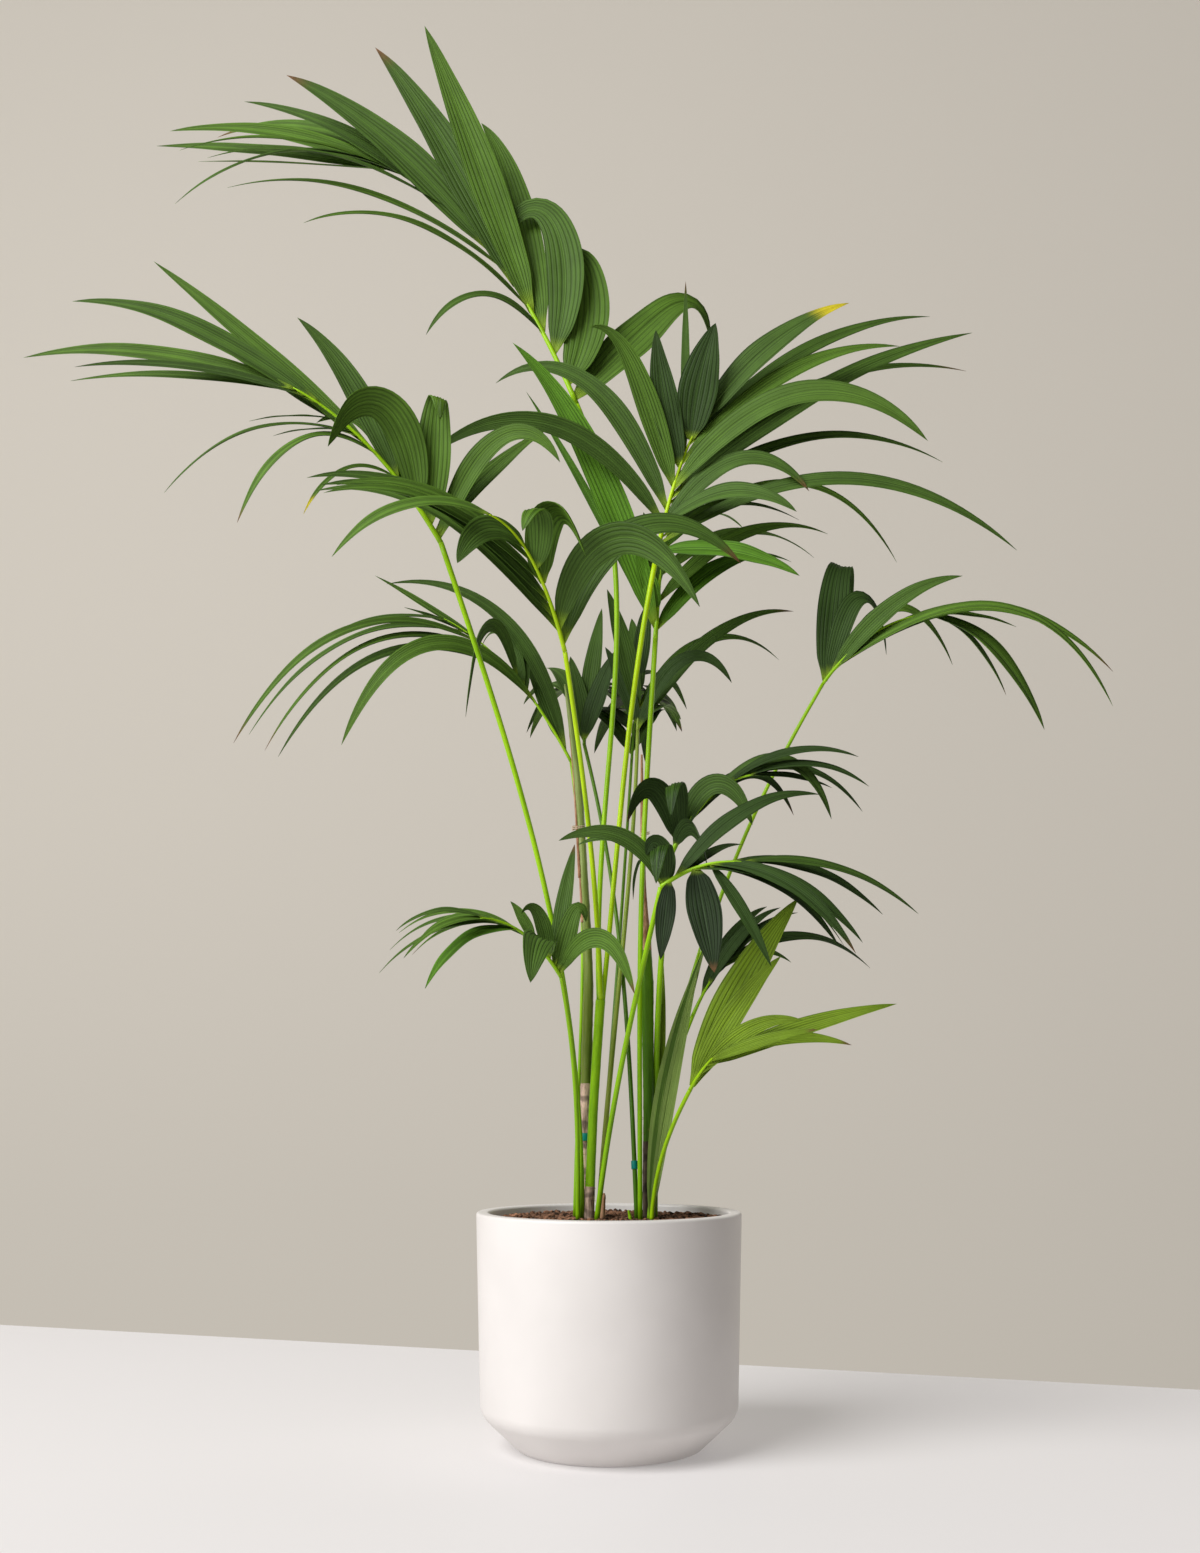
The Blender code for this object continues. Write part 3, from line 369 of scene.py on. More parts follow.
# Fronds. Stalk: foot, neck, its way (heading, lean) at both, its radius at both.
# Rib: length and sag. Ranks: place along the rib, then heading, lean, length, sag,
# width in millimetres and face (0 lies flat, 90 faces the front) of its leaflets,
# each spread evenly from the rank's first leaflet to its last.
fronds = {
    "frond_centre_front": dict(
        foot=(-0.0100, -0.0062, 0.5363), footWay=(92, -3), footRadius=0.0034,
        neck=(-0.055, -0.130, 0.961), neckWay=(99, -17), neckRadius=0.0030,
        ribWay=(105, -20), rib=0.215, ribSag=0.93, seed=4,
        ranks=(
            dict(at=(0.05, 0.14, 0.42, 0.52), count=4, heading=(78, 80, 100, 72),
                 turn=(-36, -45, -52, 50), lean=(4, -16, -12, -24),
                 length=(0.34, 0.295, 0.18, 0.13), sag=(1.5, 2.4, 3.2, 3.0),
                 bend=(1.6, 1.5, 2.0, 2.5), width=(36, 38, 40, 32), face=60),
            dict(at=(0.12, 0.20, 0.30, 0.42, 0.55, 0.66, 0.98), count=7,
                 heading=(125, 128, 131, 136, 137, 135, 160), lean=(-2, -10, 4, -8, 6, -24, -10),
                 length=(0.38, 0.37, 0.33, 0.305, 0.27, 0.12, 0.215),
                 sag=(0.95, 1.0, 0.95, 0.98, 0.95, 2.6, 1.7), width=(26, 24, 24, 22, 20, 34, 24),
                 face=45),
        )),
    "frond_left": dict(
        foot=(-0.0335, -0.0040, 0.2663), footWay=(90, -1), footRadius=0.0032,
        neck=(-0.217, -0.100, 1.117), neckWay=(109, -6), neckRadius=0.0036,
        ribWay=(121, -8),
        rib=0.278, ribSag=0.61, seed=2,
        ranks=(
            dict(at=(0.02, 0.05, 0.10, 0.20, 0.28, 0.36), count=6,
                 heading=(68, 55, 87, 92, 104, 114), turn=(0, 0, 0, 40, 20, 0),
                 lean=(-6, 8, -8, -12, 6, 0), length=(0.265, 0.215, 0.21, 0.25, 0.20, 0.265),
                 sag=(1.66, 0.4, 3.0, 3.0, 1.1, 0.6), bend=(1.6, 1.3, 5.0, 2.5, 1.5, 1.3),
                 width=(28, 24, 42, 42, 32, 30), face=70),
            dict(at=(0.56, 0.66, 0.86, 0.92, 0.96, 0.985), count=6,
                 heading=(136, 138, 145, 163, 162, 160), lean=(2, 12, -4, -12, 10, 0),
                 length=(0.41, 0.30, 0.355, 0.29, 0.335, 0.355),
                 sag=(0.1, 0.15, 0.65, 0.52, 0.35, 0.54), bend=(1.3, 1.3, 2.0, 1.3, 1.3, 1.6),
                 width=(26, 22, 34, 14, 14, 28), face=60),
            dict(at=(0.36, 0.50, 0.62, 0.66, 0.74), count=5, heading=(150, 146, 160, 164, 168),
                 lean=(-12, -14, -6, 12, 6), length=(0.155, 0.25, 0.28, 0.12, 0.12),
                 sag=(2.6, 3.2, 1.7, 0.4, 0.4), width=(16, 22, 18, 12, 12), face=25),
        )),
    "frond_tall": dict(
        foot=(-0.0125, 0.0006, 0.5363), footWay=(92, 3), footRadius=0.0032,
        neck=(-0.045, 0.120, 1.413), neckWay=(111, 4), neckRadius=0.0040,
        rib=0.530, ribSag=0.72, seed=1,
        ranks=(
            dict(at=(0.02, 0.07, 0.175, 0.25, 0.32, 0.42, 0.56, 0.73, 0.83, 0.93, 0.985), count=11,
                 heading=(52, 66, 74, 98, 109, 114, 128, 135, 134, 153, 164),
                 turn=(0, 50, 50, 0, 0, 0, 0, 0, 0, 0, 0),
                 lean=(12, 8, 4, 4, 2, 3, 0, 4, 7, -2, 4),
                 length=(0.335, 0.30, 0.345, 0.44, 0.50, 0.485, 0.455, 0.42, 0.45, 0.385, 0.40),
                 sag=(6.0, 3.0, 2.6, 0.72, 0.17, 0.42, 0.5, 0.57, 0.85, 0.6, 0.2),
                 bend=(9.0, 6.0, 4.0, 1.3, 1.3, 1.3, 1.3, 1.3, 1.3, 1.3, 1.3),
                 width=(46, 46, 40, 36, 38, 40, 40, 22, 26, 24, 20), face=72),
            dict(at=(0.24, 0.33, 0.48, 0.70, 0.90, 0.95, 0.975), count=7,
                 heading=(129, 134, 140, 150, 155, 160, 166), lean=(-10, -14, -4, -12, -6, -12, 8),
                 length=(0.225, 0.385, 0.46, 0.40, 0.40, 0.35, 0.35),
                 sag=(2.1, 1.15, 0.88, 0.95, 1.45, 0.85, 0.1), width=(20, 20, 24, 22, 22, 20, 18),
                 face=35),
        )),
    "frond_right": dict(
        foot=(-0.0078, 0.0066, 0.5363), footWay=(84, 2), footRadius=0.0032,
        neck=(0.065, 0.040, 1.138), neckWay=(79, 2), neckRadius=0.0038,
        rib=0.228, ribSag=0.62, seed=3,
        ranks=(
            dict(at=(0.26, 0.36, 0.52), count=3, heading=(122, 110, 107), lean=(-6, 4, -4),
                 length=(0.405, 0.385, 0.27), sag=(1.38, 1.2, 1.1), bend=(1.0, 1.3, 3.0),
                 width=(28, 30, 32), face=75),
            dict(at=(0.66, 0.76, 0.86), count=3, heading=(104, 88, 84), turn=(-12, 0, -12),
                 lean=(-4, 14, -6), length=(0.205, 0.33, 0.172), sag=(0.1, 0.1, 0.1),
                 width=(36, 12, 50), face=82),
            dict(at=(0.08, 0.13, 0.17, 0.22, 0.25, 0.27, 0.40), count=7,
                 heading=(0, 32, 38, 55, 35, 32, 41), lean=(-20, -7, 8, -4, 12, -18, 12),
                 length=(0.21, 0.53, 0.42, 0.27, 0.24, 0.215, 0.475),
                 sag=(0.7, 1.4, 2.1, 1.7, 0.83, 1.35, 0.95),
                 bend=(1.3, 1.3, 2.0, 1.5, 1.3, 1.3, 1.3), width=(34, 24, 16, 28, 14, 28, 20),
                 face=55),
            dict(at=(0.44, 0.50, 0.60, 0.68, 0.82, 0.975), count=6,
                 heading=(42, 50, 45, 50, 50, 54), lean=(5, -10, 15, 2, 8, -3),
                 length=(0.545, 0.42, 0.55, 0.375, 0.465, 0.285),
                 sag=(0.47, 1.6, 0.72, 0.8, 0.66, 0.64), bend=(1.3, 1.3, 1.3, 1.3, 1.3, 1.3),
                 width=(36, 36, 20, 26, 26, 40), face=60),
        )),
    "frond_upper_back": dict(
        foot=(0.0385, -0.0150, 0.2663), footWay=(90, -2), footRadius=0.0030,
        neck=(0.0655, 0.058, 1.034), neckWay=(86, 10), neckRadius=0.0036, reach=0.5,
        rib=0.150, ribSag=0.45, seed=14,
        ranks=(
            dict(at=(0.12, 0.10, 0.30, 0.60), count=4, heading=(108, 114, 108, 100),
                 lean=(-3, 6, -10, 12), length=(0.465, 0.42, 0.09, 0.12), sag=(0.7, 0.25, 0.3, 0.3),
                 width=(40, 12, 24, 22), face=80),
            dict(at=(0.10, 0.98), count=4, heading=(58, 52, 50, 60), lean=(18, 10, 26, 34),
                 length=(0.30, 0.34, 0.34, 0.26), sag=(0.9, 0.9, 1.0, 0.9), width=(30, 26, 26, 24),
                 face=50),
        )),
    "frond_far_right": dict(
        foot=(0.0545, 0.0265, 0.2663), footWay=(84, 1), footRadius=0.0028,
        neck=(0.290, 0.020, 0.961), neckWay=(59, -2), neckRadius=0.0024, ribWay=(54, -2),
        rib=0.185, ribSag=0.80, seed=5,
        ranks=(
            dict(at=(0.02, 0.06, 0.11, 0.27), count=4, heading=(80, 73, 52, 62), lean=(16, 6, -4, 10),
                 length=(0.285, 0.235, 0.225, 0.235), sag=(6.0, 3.8, 0.76, 2.05),
                 bend=(6.0, 2.8, 1.3, 1.3), width=(38, 26, 25, 18), face=65),
            dict(at=(0.14, 0.18, 0.95, 0.985, 0.99), count=5, heading=(38, 29, -14, -16, 5),
                 lean=(-4, -12, -8, 8, 2), length=(0.42, 0.43, 0.237, 0.152, 0.118),
                 sag=(1.6, 2.8, 2.6, 2.2, 0.5), bend=(1.45, 2.2, 1.3, 1.3, 1.3),
                 width=(22, 20, 28, 14, 12), face=40),
        )),
    "frond_low_left": dict(
        foot=(-0.0385, -0.0115, 0.2663), footWay=(90, -3), footRadius=0.0030,
        neck=(-0.059, -0.080, 0.559), neckWay=(101, -16), neckRadius=0.0026, ribWay=(122, -16),
        rib=0.135, ribSag=0.85, seed=6,
        ranks=(
            dict(at=(0.03, 0.08, 0.12, 0.20), count=4, heading=(62, 76, 83, 93),
                 turn=(0, 0, 0, 25), lean=(-16, -4, 8, -12), length=(0.165, 0.105, 0.17, 0.09),
                 sag=(2.65, 3.7, 0.3, 2.0), bend=(1.3, 6.0, 1.3, 4.0), width=(22, 24, 19, 18),
                 face=60),
            dict(at=(0.22, 0.42, 0.85), count=3, heading=(102, 112, 162), lean=(-48, 8, 12),
                 length=(0.13, 0.06, 0.10), sag=(2.6, 0.5, 1.2), width=(36, 14, 12), face=40),
            dict(at=(0.60, 0.85, 0.75, 0.70, 0.47, 0.63, 0.95), count=7,
                 heading=(174, 172, 174, 165, 150, 151, 160), lean=(-14, -24, 8, -12, -2, 14, -6),
                 length=(0.145, 0.133, 0.172, 0.14, 0.20, 0.155, 0.115),
                 sag=(2.1, 1.4, 1.2, 1.15, 1.3, 1.15, 1.2), width=(24, 12, 12, 12, 14, 12, 12),
                 face=30),
        )),
    "frond_mid_right": dict(
        foot=(0.0570, 0.0125, 0.2663), footWay=(89, 0), footRadius=0.0042,
        neck=(0.082, -0.030, 0.723), neckWay=(82, -8), neckRadius=0.0034, ribWay=(64, -8),
        rib=0.150, ribSag=0.86, seed=7,
        ranks=(
            dict(at=(0.04, 0.10, 0.14), count=3, heading=(70, 104, 96), lean=(-30, -8, -20),
                 length=(0.12, 0.15, 0.14), sag=(3.2, 2.12, 3.2), bend=(1.3, 1.4, 2.2),
                 width=(22, 28, 26), face=60),
            dict(at=(0.17, 0.30, 0.50, 0.62, 0.75, 0.95, 0.985), count=7,
                 heading=(74, 52, 40, 36, 38, 20, 5), lean=(-8, 4, -10, 8, 18, -4, 6),
                 length=(0.165, 0.188, 0.218, 0.228, 0.18, 0.165, 0.11),
                 sag=(1.9, 2.3, 3.3, 1.68, 0.95, 1.1, 0.5), bend=(1.05, 1.9, 2.25, 1.45, 1.1, 1.3, 1.3),
                 width=(25, 20, 22, 16, 14, 14, 12), face=45),
        )),
    "frond_front_right": dict(
        foot=(-0.0150, -0.0160, 0.2663), footWay=(83, -4), footRadius=0.0034,
        neck=(0.064, -0.100, 0.668), neckWay=(77, -13), neckRadius=0.0032, ribWay=(36, -12),
        rib=0.110, ribSag=0.70, seed=8,
        ranks=(
            dict(at=(0.02, 0.05, 0.03, 0.06, 0.09), count=5, heading=(108, 105, 106, 96, 98),
                 turn=(50, 50, 0, 0, 0), lean=(-5, 4, 10, -20, 16),
                 length=(0.165, 0.14, 0.11, 0.115, 0.075), sag=(0.85, 0.85, 4.5, 3.5, 1.5),
                 bend=(0.9, 0.9, 2.0, 1.8, 1.3), width=(20, 16, 22, 26, 26), face=60),
            dict(at=(0.12, 0.45, 0.62), count=3, heading=(262, 280, 306), lean=(-16, -22, -10),
                 length=(0.105, 0.142, 0.148), sag=(0.3, 0.3, 0.6), width=(22, 38, 15), face=70),
            dict(at=(0.20, 0.32, 0.40, 0.50, 0.62, 0.52, 0.85, 0.98), count=8,
                 heading=(50, 44, 6, 2, -2, 6, 6, 7), lean=(10, 20, -14, -4, -12, 4, 8, 2),
                 length=(0.23, 0.125, 0.235, 0.21, 0.22, 0.23, 0.212, 0.235),
                 sag=(0.85, 0.5, 1.45, 1.6, 1.6, 1.5, 1.05, 1.0),
                 width=(24, 13, 24, 20, 20, 14, 18, 16), face=45),
        )),
    "frond_low_back": dict(
        foot=(0.0495, -0.0135, 0.2663), footWay=(84, 2), footRadius=0.0028,
        neck=(0.109, 0.020, 0.518), neckWay=(66, 10), neckRadius=0.0026,
        rib=0.080, ribSag=0.50, seed=9,
        ranks=(
            dict(at=(0.35, 0.55, 0.70, 0.80, 0.90, 0.985), count=6, heading=(66, 62, 55, 52, 38, 35),
                 lean=(14, 4, 18, 8, 16, 10), length=(0.17, 0.145, 0.155, 0.14, 0.255, 0.10),
                 sag=(0.72, 0.71, 0.77, 0.72, 1.23, 1.2), width=(18, 16, 16, 12, 17, 12), face=45),
        )),
    "frond_young": dict(
        foot=(0.0525, -0.0225, 0.2663), footWay=(86, -3), footRadius=0.0028,
        neck=(0.099, -0.070, 0.423), neckWay=(62, -18), neckRadius=0.0026,
        rib=0.050, ribSag=0.40, seed=10,
        ranks=(
            dict(at=(0.10, 0.25, 0.45, 0.75, 0.90, 0.985), count=6, heading=(65, 61, 50, 22, 24, 22),
                 lean=(2, -8, -14, -4, -12, -18), length=(0.27, 0.185, 0.155, 0.24, 0.14, 0.175),
                 sag=(0.42, 0.45, 0.9, 0.25, 0.3, 0.68), width=(46, 30, 22, 24, 16, 18), face=70),
        )),
    "frond_back_left": dict(
        foot=(-0.0430, 0.0300, 0.2663), footWay=(89, 3), footRadius=0.0024,
        neck=(-0.052, 0.140, 0.879), neckWay=(98, 12), neckRadius=0.0024, ribWay=(117, 4),
        rib=0.295, ribSag=0.64, seed=11,
        ranks=(
            dict(at=(0.06, 0.10, 0.45, 0.42), count=4, heading=(101, 106, 100, 98),
                 turn=(34, 0, 20, 0), lean=(6, 20, 10, 14), length=(0.42, 0.20, 0.155, 0.14),
                 sag=(0.8, 0.5, 2.2, 4.0), bend=(1.3, 1.3, 3.5, 3.0), width=(20, 26, 18, 14),
                 face=45),
            dict(at=(0.78, 0.85, 0.98), count=3, heading=(141, 148, 168), lean=(10, 16, 6),
                 length=(0.20, 0.13, 0.20), sag=(0.1, 0.15, 0.85), width=(15, 12, 14), face=35),
            dict(at=(0.35, 0.50, 0.55, 0.65, 0.75, 0.85), count=6,
                 heading=(130, 104, 150, 152, 154, 163), lean=(-10, -20, -4, 4, -10, 2),
                 length=(0.38, 0.26, 0.40, 0.42, 0.43, 0.39), sag=(2.6, 4.8, 2.2, 2.2, 2.3, 1.9),
                 bend=(1.35, 1.6, 1.3, 1.3, 1.3, 1.3), width=(28, 18, 20, 20, 20, 20), face=40),
        )),
    "frond_back_right": dict(
        foot=(-0.0130, 0.0160, 0.2663), footWay=(86, 1), footRadius=0.0036,
        neck=(0.043, 0.160, 0.929), neckWay=(88, 16), neckRadius=0.0026,
        rib=0.110, ribSag=0.55, seed=13,
        ranks=(
            dict(at=(0.10, 0.80), count=4, heading=(108, 103, 92, 87), lean=(6, -4, 20, 10),
                 length=(0.13, 0.185, 0.15, 0.14), sag=(0.4, 0.35, 0.5, 1.0), width=(22, 26, 24, 22),
                 face=65),
            dict(at=(0.05, 0.35, 0.02, 0.90), count=4, heading=(60, 58, 66, 44), lean=(2, 12, -8, 52),
                 length=(0.31, 0.29, 0.215, 0.17), sag=(0.9, 1.25, 1.75, 1.2),
                 bend=(1.3, 1.3, 1.55, 1.3), width=(22, 20, 20, 18), face=45),
        )),
    "frond_back": dict(
        foot=(0.0345, -0.0055, 0.2663), footWay=(92, 4), footRadius=0.0030,
        neck=(-0.034, 0.200, 0.918), neckWay=(103, 18), neckRadius=0.0026, ribWay=(90, 35),
        rib=0.180, ribSag=0.55, seed=12,
        ranks=(
            dict(at=(0.04, 0.97), count=5, heading=(97, 108, 118, 130, 142),
                 lean=(18, 32, 42, 50, 58), length=(0.16, 0.20, 0.24, 0.25, 0.22),
                 sag=(0.4, 0.7, 1.0, 1.2, 1.2), width=(26, 28, 26, 24, 20), face=30),
            dict(at=(0.05, 0.985), count=6, heading=(76, 85, 72, 62, 52, 42),
                 lean=(8, 16, 36, 46, 54, 60), length=(0.16, 0.22, 0.22, 0.24, 0.24, 0.22),
                 sag=(0.5, 0.25, 0.9, 1.1, 1.2, 1.2), width=(28, 24, 26, 24, 22, 20), face=30),
        )),
    "frond_hidden_back": dict(
        foot=(-0.0140, 0.0300, 0.2663), footWay=(85, 2), footRadius=0.0024,
        neck=(0.036, 0.245, 0.905), neckWay=(86, 24), neckRadius=0.0022,
        rib=0.190, ribSag=0.70, seed=15,
        ranks=(
            dict(at=(0.05, 0.97), count=5, heading=(112, 118, 124, 134, 150),
                 lean=(36, 50, 60, 66, 70), length=(0.19, 0.22, 0.23, 0.22, 0.20),
                 sag=(0.7, 0.9, 1.1, 1.1, 1.1), width=(24, 26, 24, 22, 20), face=20),
            dict(at=(0.08, 0.985), count=5, heading=(70, 64, 58, 48, 34),
                 lean=(36, 50, 60, 66, 70), length=(0.18, 0.21, 0.22, 0.21, 0.18),
                 sag=(0.7, 0.9, 1.1, 1.1, 1.1), width=(24, 26, 24, 22, 20), face=20),
        )),
}

frondTints = {  # blade colours that a frond's leaflets are dealt from
    "frond_centre_front": ("mid", "fresh", "mid", "fresh"),
    "frond_left": ("fresh", "mid", "fresh"),
    "frond_tall": ("mid", "fresh", "fresh", "mid"),
    "frond_right": ("mid", "fresh", "mid"),
    "frond_upper_back": ("bright", "fresh"),
    "frond_far_right": ("fresh", "mid", "fresh"),
    "frond_low_left": ("mid", "fresh"),
    "frond_mid_right": ("deep", "deep", "mid"),
    "frond_front_right": ("deep", "deep", "deep", "mid"),
    "frond_low_back": ("deep", "mid"),
    "frond_young": ("young",),
    "frond_back_left": ("mid", "fresh", "mid"),
    "frond_back_right": ("deep", "mid"),
    "frond_back": ("deep", "mid"),
    "frond_hidden_back": ("deep", "mid"),
}
leafExtras = {  # leaflets with a colour of their own: frond, rank and number in the rank
    ("frond_right", 3, 5): "midYellow",
    ("frond_far_right", 0, 0): "deep",
    ("frond_far_right", 0, 1): "deep",
    ("frond_far_right", 0, 2): "mid",
    ("frond_right", 1, 0): "deep",
    ("frond_right", 1, 2): "deep",
    ("frond_right", 2, 0): "bright",
    ("frond_centre_front", 1, 6): "fresh",
    ("frond_left", 2, 0): "freshYellow",
    ("frond_low_left", 2, 0): "bright",
    ("frond_front_right", 1, 0): "dark",
    ("frond_front_right", 1, 1): "darkBrown",
}
stalkSkins = {name: "stalkGreen" for name in fronds}
stalkSkins.update({"frond_centre_front": "stalkLime", "frond_right": "stalkLime", "frond_young": "stalkLime",
                   "frond_back_right": "stalkOlive", "frond_far_right": "stalkGreen",
                   "frond_back": "stalkDark", "frond_hidden_back": "stalkDark", "frond_low_back": "stalkGreen"})

pot = {"height": 0.275, "rimRadius": 0.165, "mouthRadius": 0.149, "creaseRadius": 0.1565,
       "creaseHeight": 0.041, "baseRadius": 0.111, "wall": 0.012, "floor": 0.016}
soil = {"top": 0.266, "crumbs": 2000}

stems = {  # points of the middle line, radius at each, and where bark ends and dry sheath begins
    "stem_left": dict(
        path=((-0.025, 0.0, 0.266), (-0.0195, 0.0, 0.40), (-0.0105, 0.0005, 0.536)),
        radius=(0.0058, 0.0052, 0.0056), depth=1.8, rough=0.05, barkTo=0.305, dryFrom=2.0,
        skins=("bark", "stalkGreen", "drySheath")),
    "stem_back": dict(
        path=((-0.031, 0.018, 0.266), (-0.029, 0.020, 0.42), (-0.0265, 0.030, 0.54),
              (-0.0285, 0.036, 0.62), (-0.042, 0.058, 0.84), (-0.060, 0.075, 0.975)),
        radius=(0.0088, 0.0072, 0.0068, 0.0058, 0.0056, 0.0012), depth=1.0, rough=0.12,
        barkTo=0.43, dryFrom=2.0, skins=("bark", "stemSkin", "drySheath")),
    "stem_right": dict(
        path=((0.050, 0.0, 0.266), (0.050, 0.0, 0.44), (0.050, 0.002, 0.55),
              (0.0485, 0.006, 0.62), (0.0455, 0.016, 0.69), (0.045, 0.030, 0.865)),
        radius=(0.0078, 0.0066, 0.0080, 0.0058, 0.0036, 0.0014), depth=1.0, rough=0.10,
        barkTo=0.36, dryFrom=0.60, skins=("darkBark", "stalkDark", "drySheath")),
    "spear_right": dict(
        path=((0.046, 0.0185, 0.266), (0.0655, 0.037, 0.40), (0.0925, 0.050, 0.50),
              (0.122, 0.060, 0.61)),
        radius=(0.0032, 0.0046, 0.0062, 0.0012), depth=1.0, rough=0.02, barkTo=0.0, dryFrom=2.0,
        skins=("bark", "stalkGreen", "drySheath")),
}
spear = {  # young blades still folded together, along the lower part of a stalk and in front of it
    "beside": "frond_far_right",
    "top": 0.615,
    # place across in metres, shares of the line where a blade starts and ends, width in metres, tint
    "blades": ((-0.0120, 0.0, 0.97, 0.011, "pale"), (-0.0060, 0.0, 1.0, 0.012, "fresh"),
               (0.0005, 0.0, 0.98, 0.012, "pale"), (0.0055, 0.0, 0.88, 0.010, "pale")),
    "front": 0.0445,
    "side": -0.0032,
    "sunk": 0.005,
    "single": ((0.0572, 0.0108, 0.372), (0.0690, 0.004, 0.605), 0.014, "young"),
}
widerLeaves = {("frond_tall", 0): 1.28, ("frond_young", 0): 0.88}   # shares of the usual width, by rank
scraps = {  # dry scraps of old sheaths: stem, lowest and highest place, how many
    "stem_back": (0.29, 0.47, 60),
    "stem_left": (0.272, 0.315, 26),
    "stem_right": (0.28, 0.40, 22),
}
sheathStrips = (("stem_back", 0.70, 0.90, -0.9), ("stem_back", 0.64, 0.78, -0.8))
ties = {  # turns of twine: stem, height, how far the loop stands out and to which side
    "tie_left": dict(around="stem_back", height=0.773, out=0.0030, side=-0.0028),
    "tie_right": dict(around="stem_right", height=0.759, out=0.0032, side=0.0030),
}
tapes = {
    "tape_left": dict(around="stem_back", height=0.365, tall=0.0095, thick=0.0011),
    "tape_right": dict(around="frond_back", height=0.331, tall=0.0100, thick=0.0009),
}
stubs = {
    "stub_left": dict(foot=(-0.0080, -0.0030), top=(-0.0060, -0.0030), height=0.031, radius=0.0032, skin="drySheath"),
    "shoot_right": dict(foot=(0.0265, -0.0200), top=(0.0240, -0.0200), height=0.012, radius=0.0022, skin="stalkGreen"),
}


def onStalk(frond, spans=48):  # points of the curve from a stalk's foot to its neck
    a, b = Vector(frond["foot"]), Vector(frond["neck"])
    span = (b - a).length * frond.get("reach", 0.36)
    p, q = a + toward(frond["footWay"]) * span, b - toward(frond["neckWay"]) * span
    points = []
    for n in range(spans + 1):
        t = n / spans
        s = 1 - t
        points.append(a * s ** 3 + p * (3 * s * s * t) + q * (3 * s * t * t) + b * t ** 3)
    return points


leafShape = {
    "rows": 34,             # grid along a leaflet
    "columns": 12,          # and across it
    "places": (0.0, 0.05, 0.14, 0.40, 0.66, 0.86, 0.95, 1.0),
    "widths": (0.16, 0.34, 0.70, 1.0, 0.80, 0.42, 0.19, 0.0),
    "fold": 0.16,           # depth of the fold along the middle, over the half width
    "pleat": 0.055,         # from the crest of a pleat to its valley, over the width
    "thickness": 0.00035,
}


def leafletBlade(mesh, path, width, face, slot, wave, number):
    # pleated blade along a path; face turns its upper side from up (0) to the front (90)
    turn = math.radians(face)
    normal = Vector((0, -math.sin(turn), math.cos(turn)))
    first = (path[1] - path[0]).cross(normal).normalized()
    rows, columns = leafShape["rows"], leafShape["columns"]
    frames = framesAlong(path, first, [n / rows for n in range(rows + 1)])

    def place(row, column):
        s, c = row / rows, 2 * column / columns - 1
        centre, way, across, up = frames[row]
        half = width / 2 * eased(leafShape["places"], leafShape["widths"], s)
        crest = leafShape["pleat"] * (1 if column % 2 else -1) * half
        ripple = math.sin(s * wave[0] + wave[1] + (1.3 if c > 0 else 0)) * half * 0.07 * abs(c)
        return centre + across * (half * c) - up * (crest + ripple - half * leafShape["fold"] * abs(c)) * 1.0

    verts, faces = wrappedGrid(mesh, rows, columns, place, number)
    bmesh.ops.remove_doubles(mesh, verts=verts, dist=0.000002)
    live = [f for f in faces if f.is_valid]
    middle = live[len(live) // 2]
    middle.normal_update()
    wanted = -frames[rows // 2][3]
    if middle.normal.dot(wanted) < 0:
        bmesh.ops.reverse_faces(mesh, faces=live)
    for f in live:
        f.material_index = slot
        f.smooth = True


def fitted(path, tree, folds):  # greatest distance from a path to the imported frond, at the rings of its leaflets
    rings = (0.14, 0.40, 0.66, 0.86, 1.0) if folds else (0.18, 0.52, 0.80, 1.0)
    return max(tree.find_nearest(along(path, t))[3] for t in rings)


nudges = (0, 5, -5, 10, -10, 16, -16, 23, -23, 31, -31)   # a leaflet of the imported frond leans aside by one of these


def leafletsOf(name, frond, rib):  # path, width, face and place on the rib of each leaflet
    chance = random.Random(frond["seed"])
    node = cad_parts[name]
    tree = BVHTree.FromPolygons([v.co for v in node.data.vertices], [p.vertices for p in node.data.polygons])
    for rankNumber, rank in enumerate(frond["ranks"]):
        for n in range(rank["count"]):
            t = n / max(rank["count"] - 1, 1)
            root = along(rib, spread(rank["at"], t))
            heading = spread(rank["heading"], t) + chance.uniform(-1.5, 1.5)
            lean = spread(rank["lean"], t) + chance.uniform(-1.5, 1.5)
            length = spread(rank["length"], t) * chance.uniform(0.98, 1.02)
            face = spread(rank["face"], t) + chance.uniform(-6, 6)
            sag, bend, turn = (spread(rank.get(key, usual), t)
                               for key, usual in (("sag", 0), ("bend", 1.3), ("turn", 0)))
            paths = [grow(root, (heading, lean + nudge), length, sag, bend, turn) for nudge in nudges]
            misses = [fitted(path, tree, sag > 1.25) for path in paths]
            best = min(range(len(paths)), key=lambda i: (round(misses[i], 3), i))
            if misses[best] > 0.008:
                print("no blade in the frame:", name, rankNumber, n, round(misses[best], 4))
                continue
            yield rankNumber, n, paths[best], spread(rank["width"], t) / 1000, face


def tintOf(name, rank, n, chance):
    usual = frondTints[name]
    dealt = usual[int(chance.random() * len(usual))] + ("Brown" if chance.random() < 0.14 else "")
    return leafExtras.get((name, rank, n), dealt)


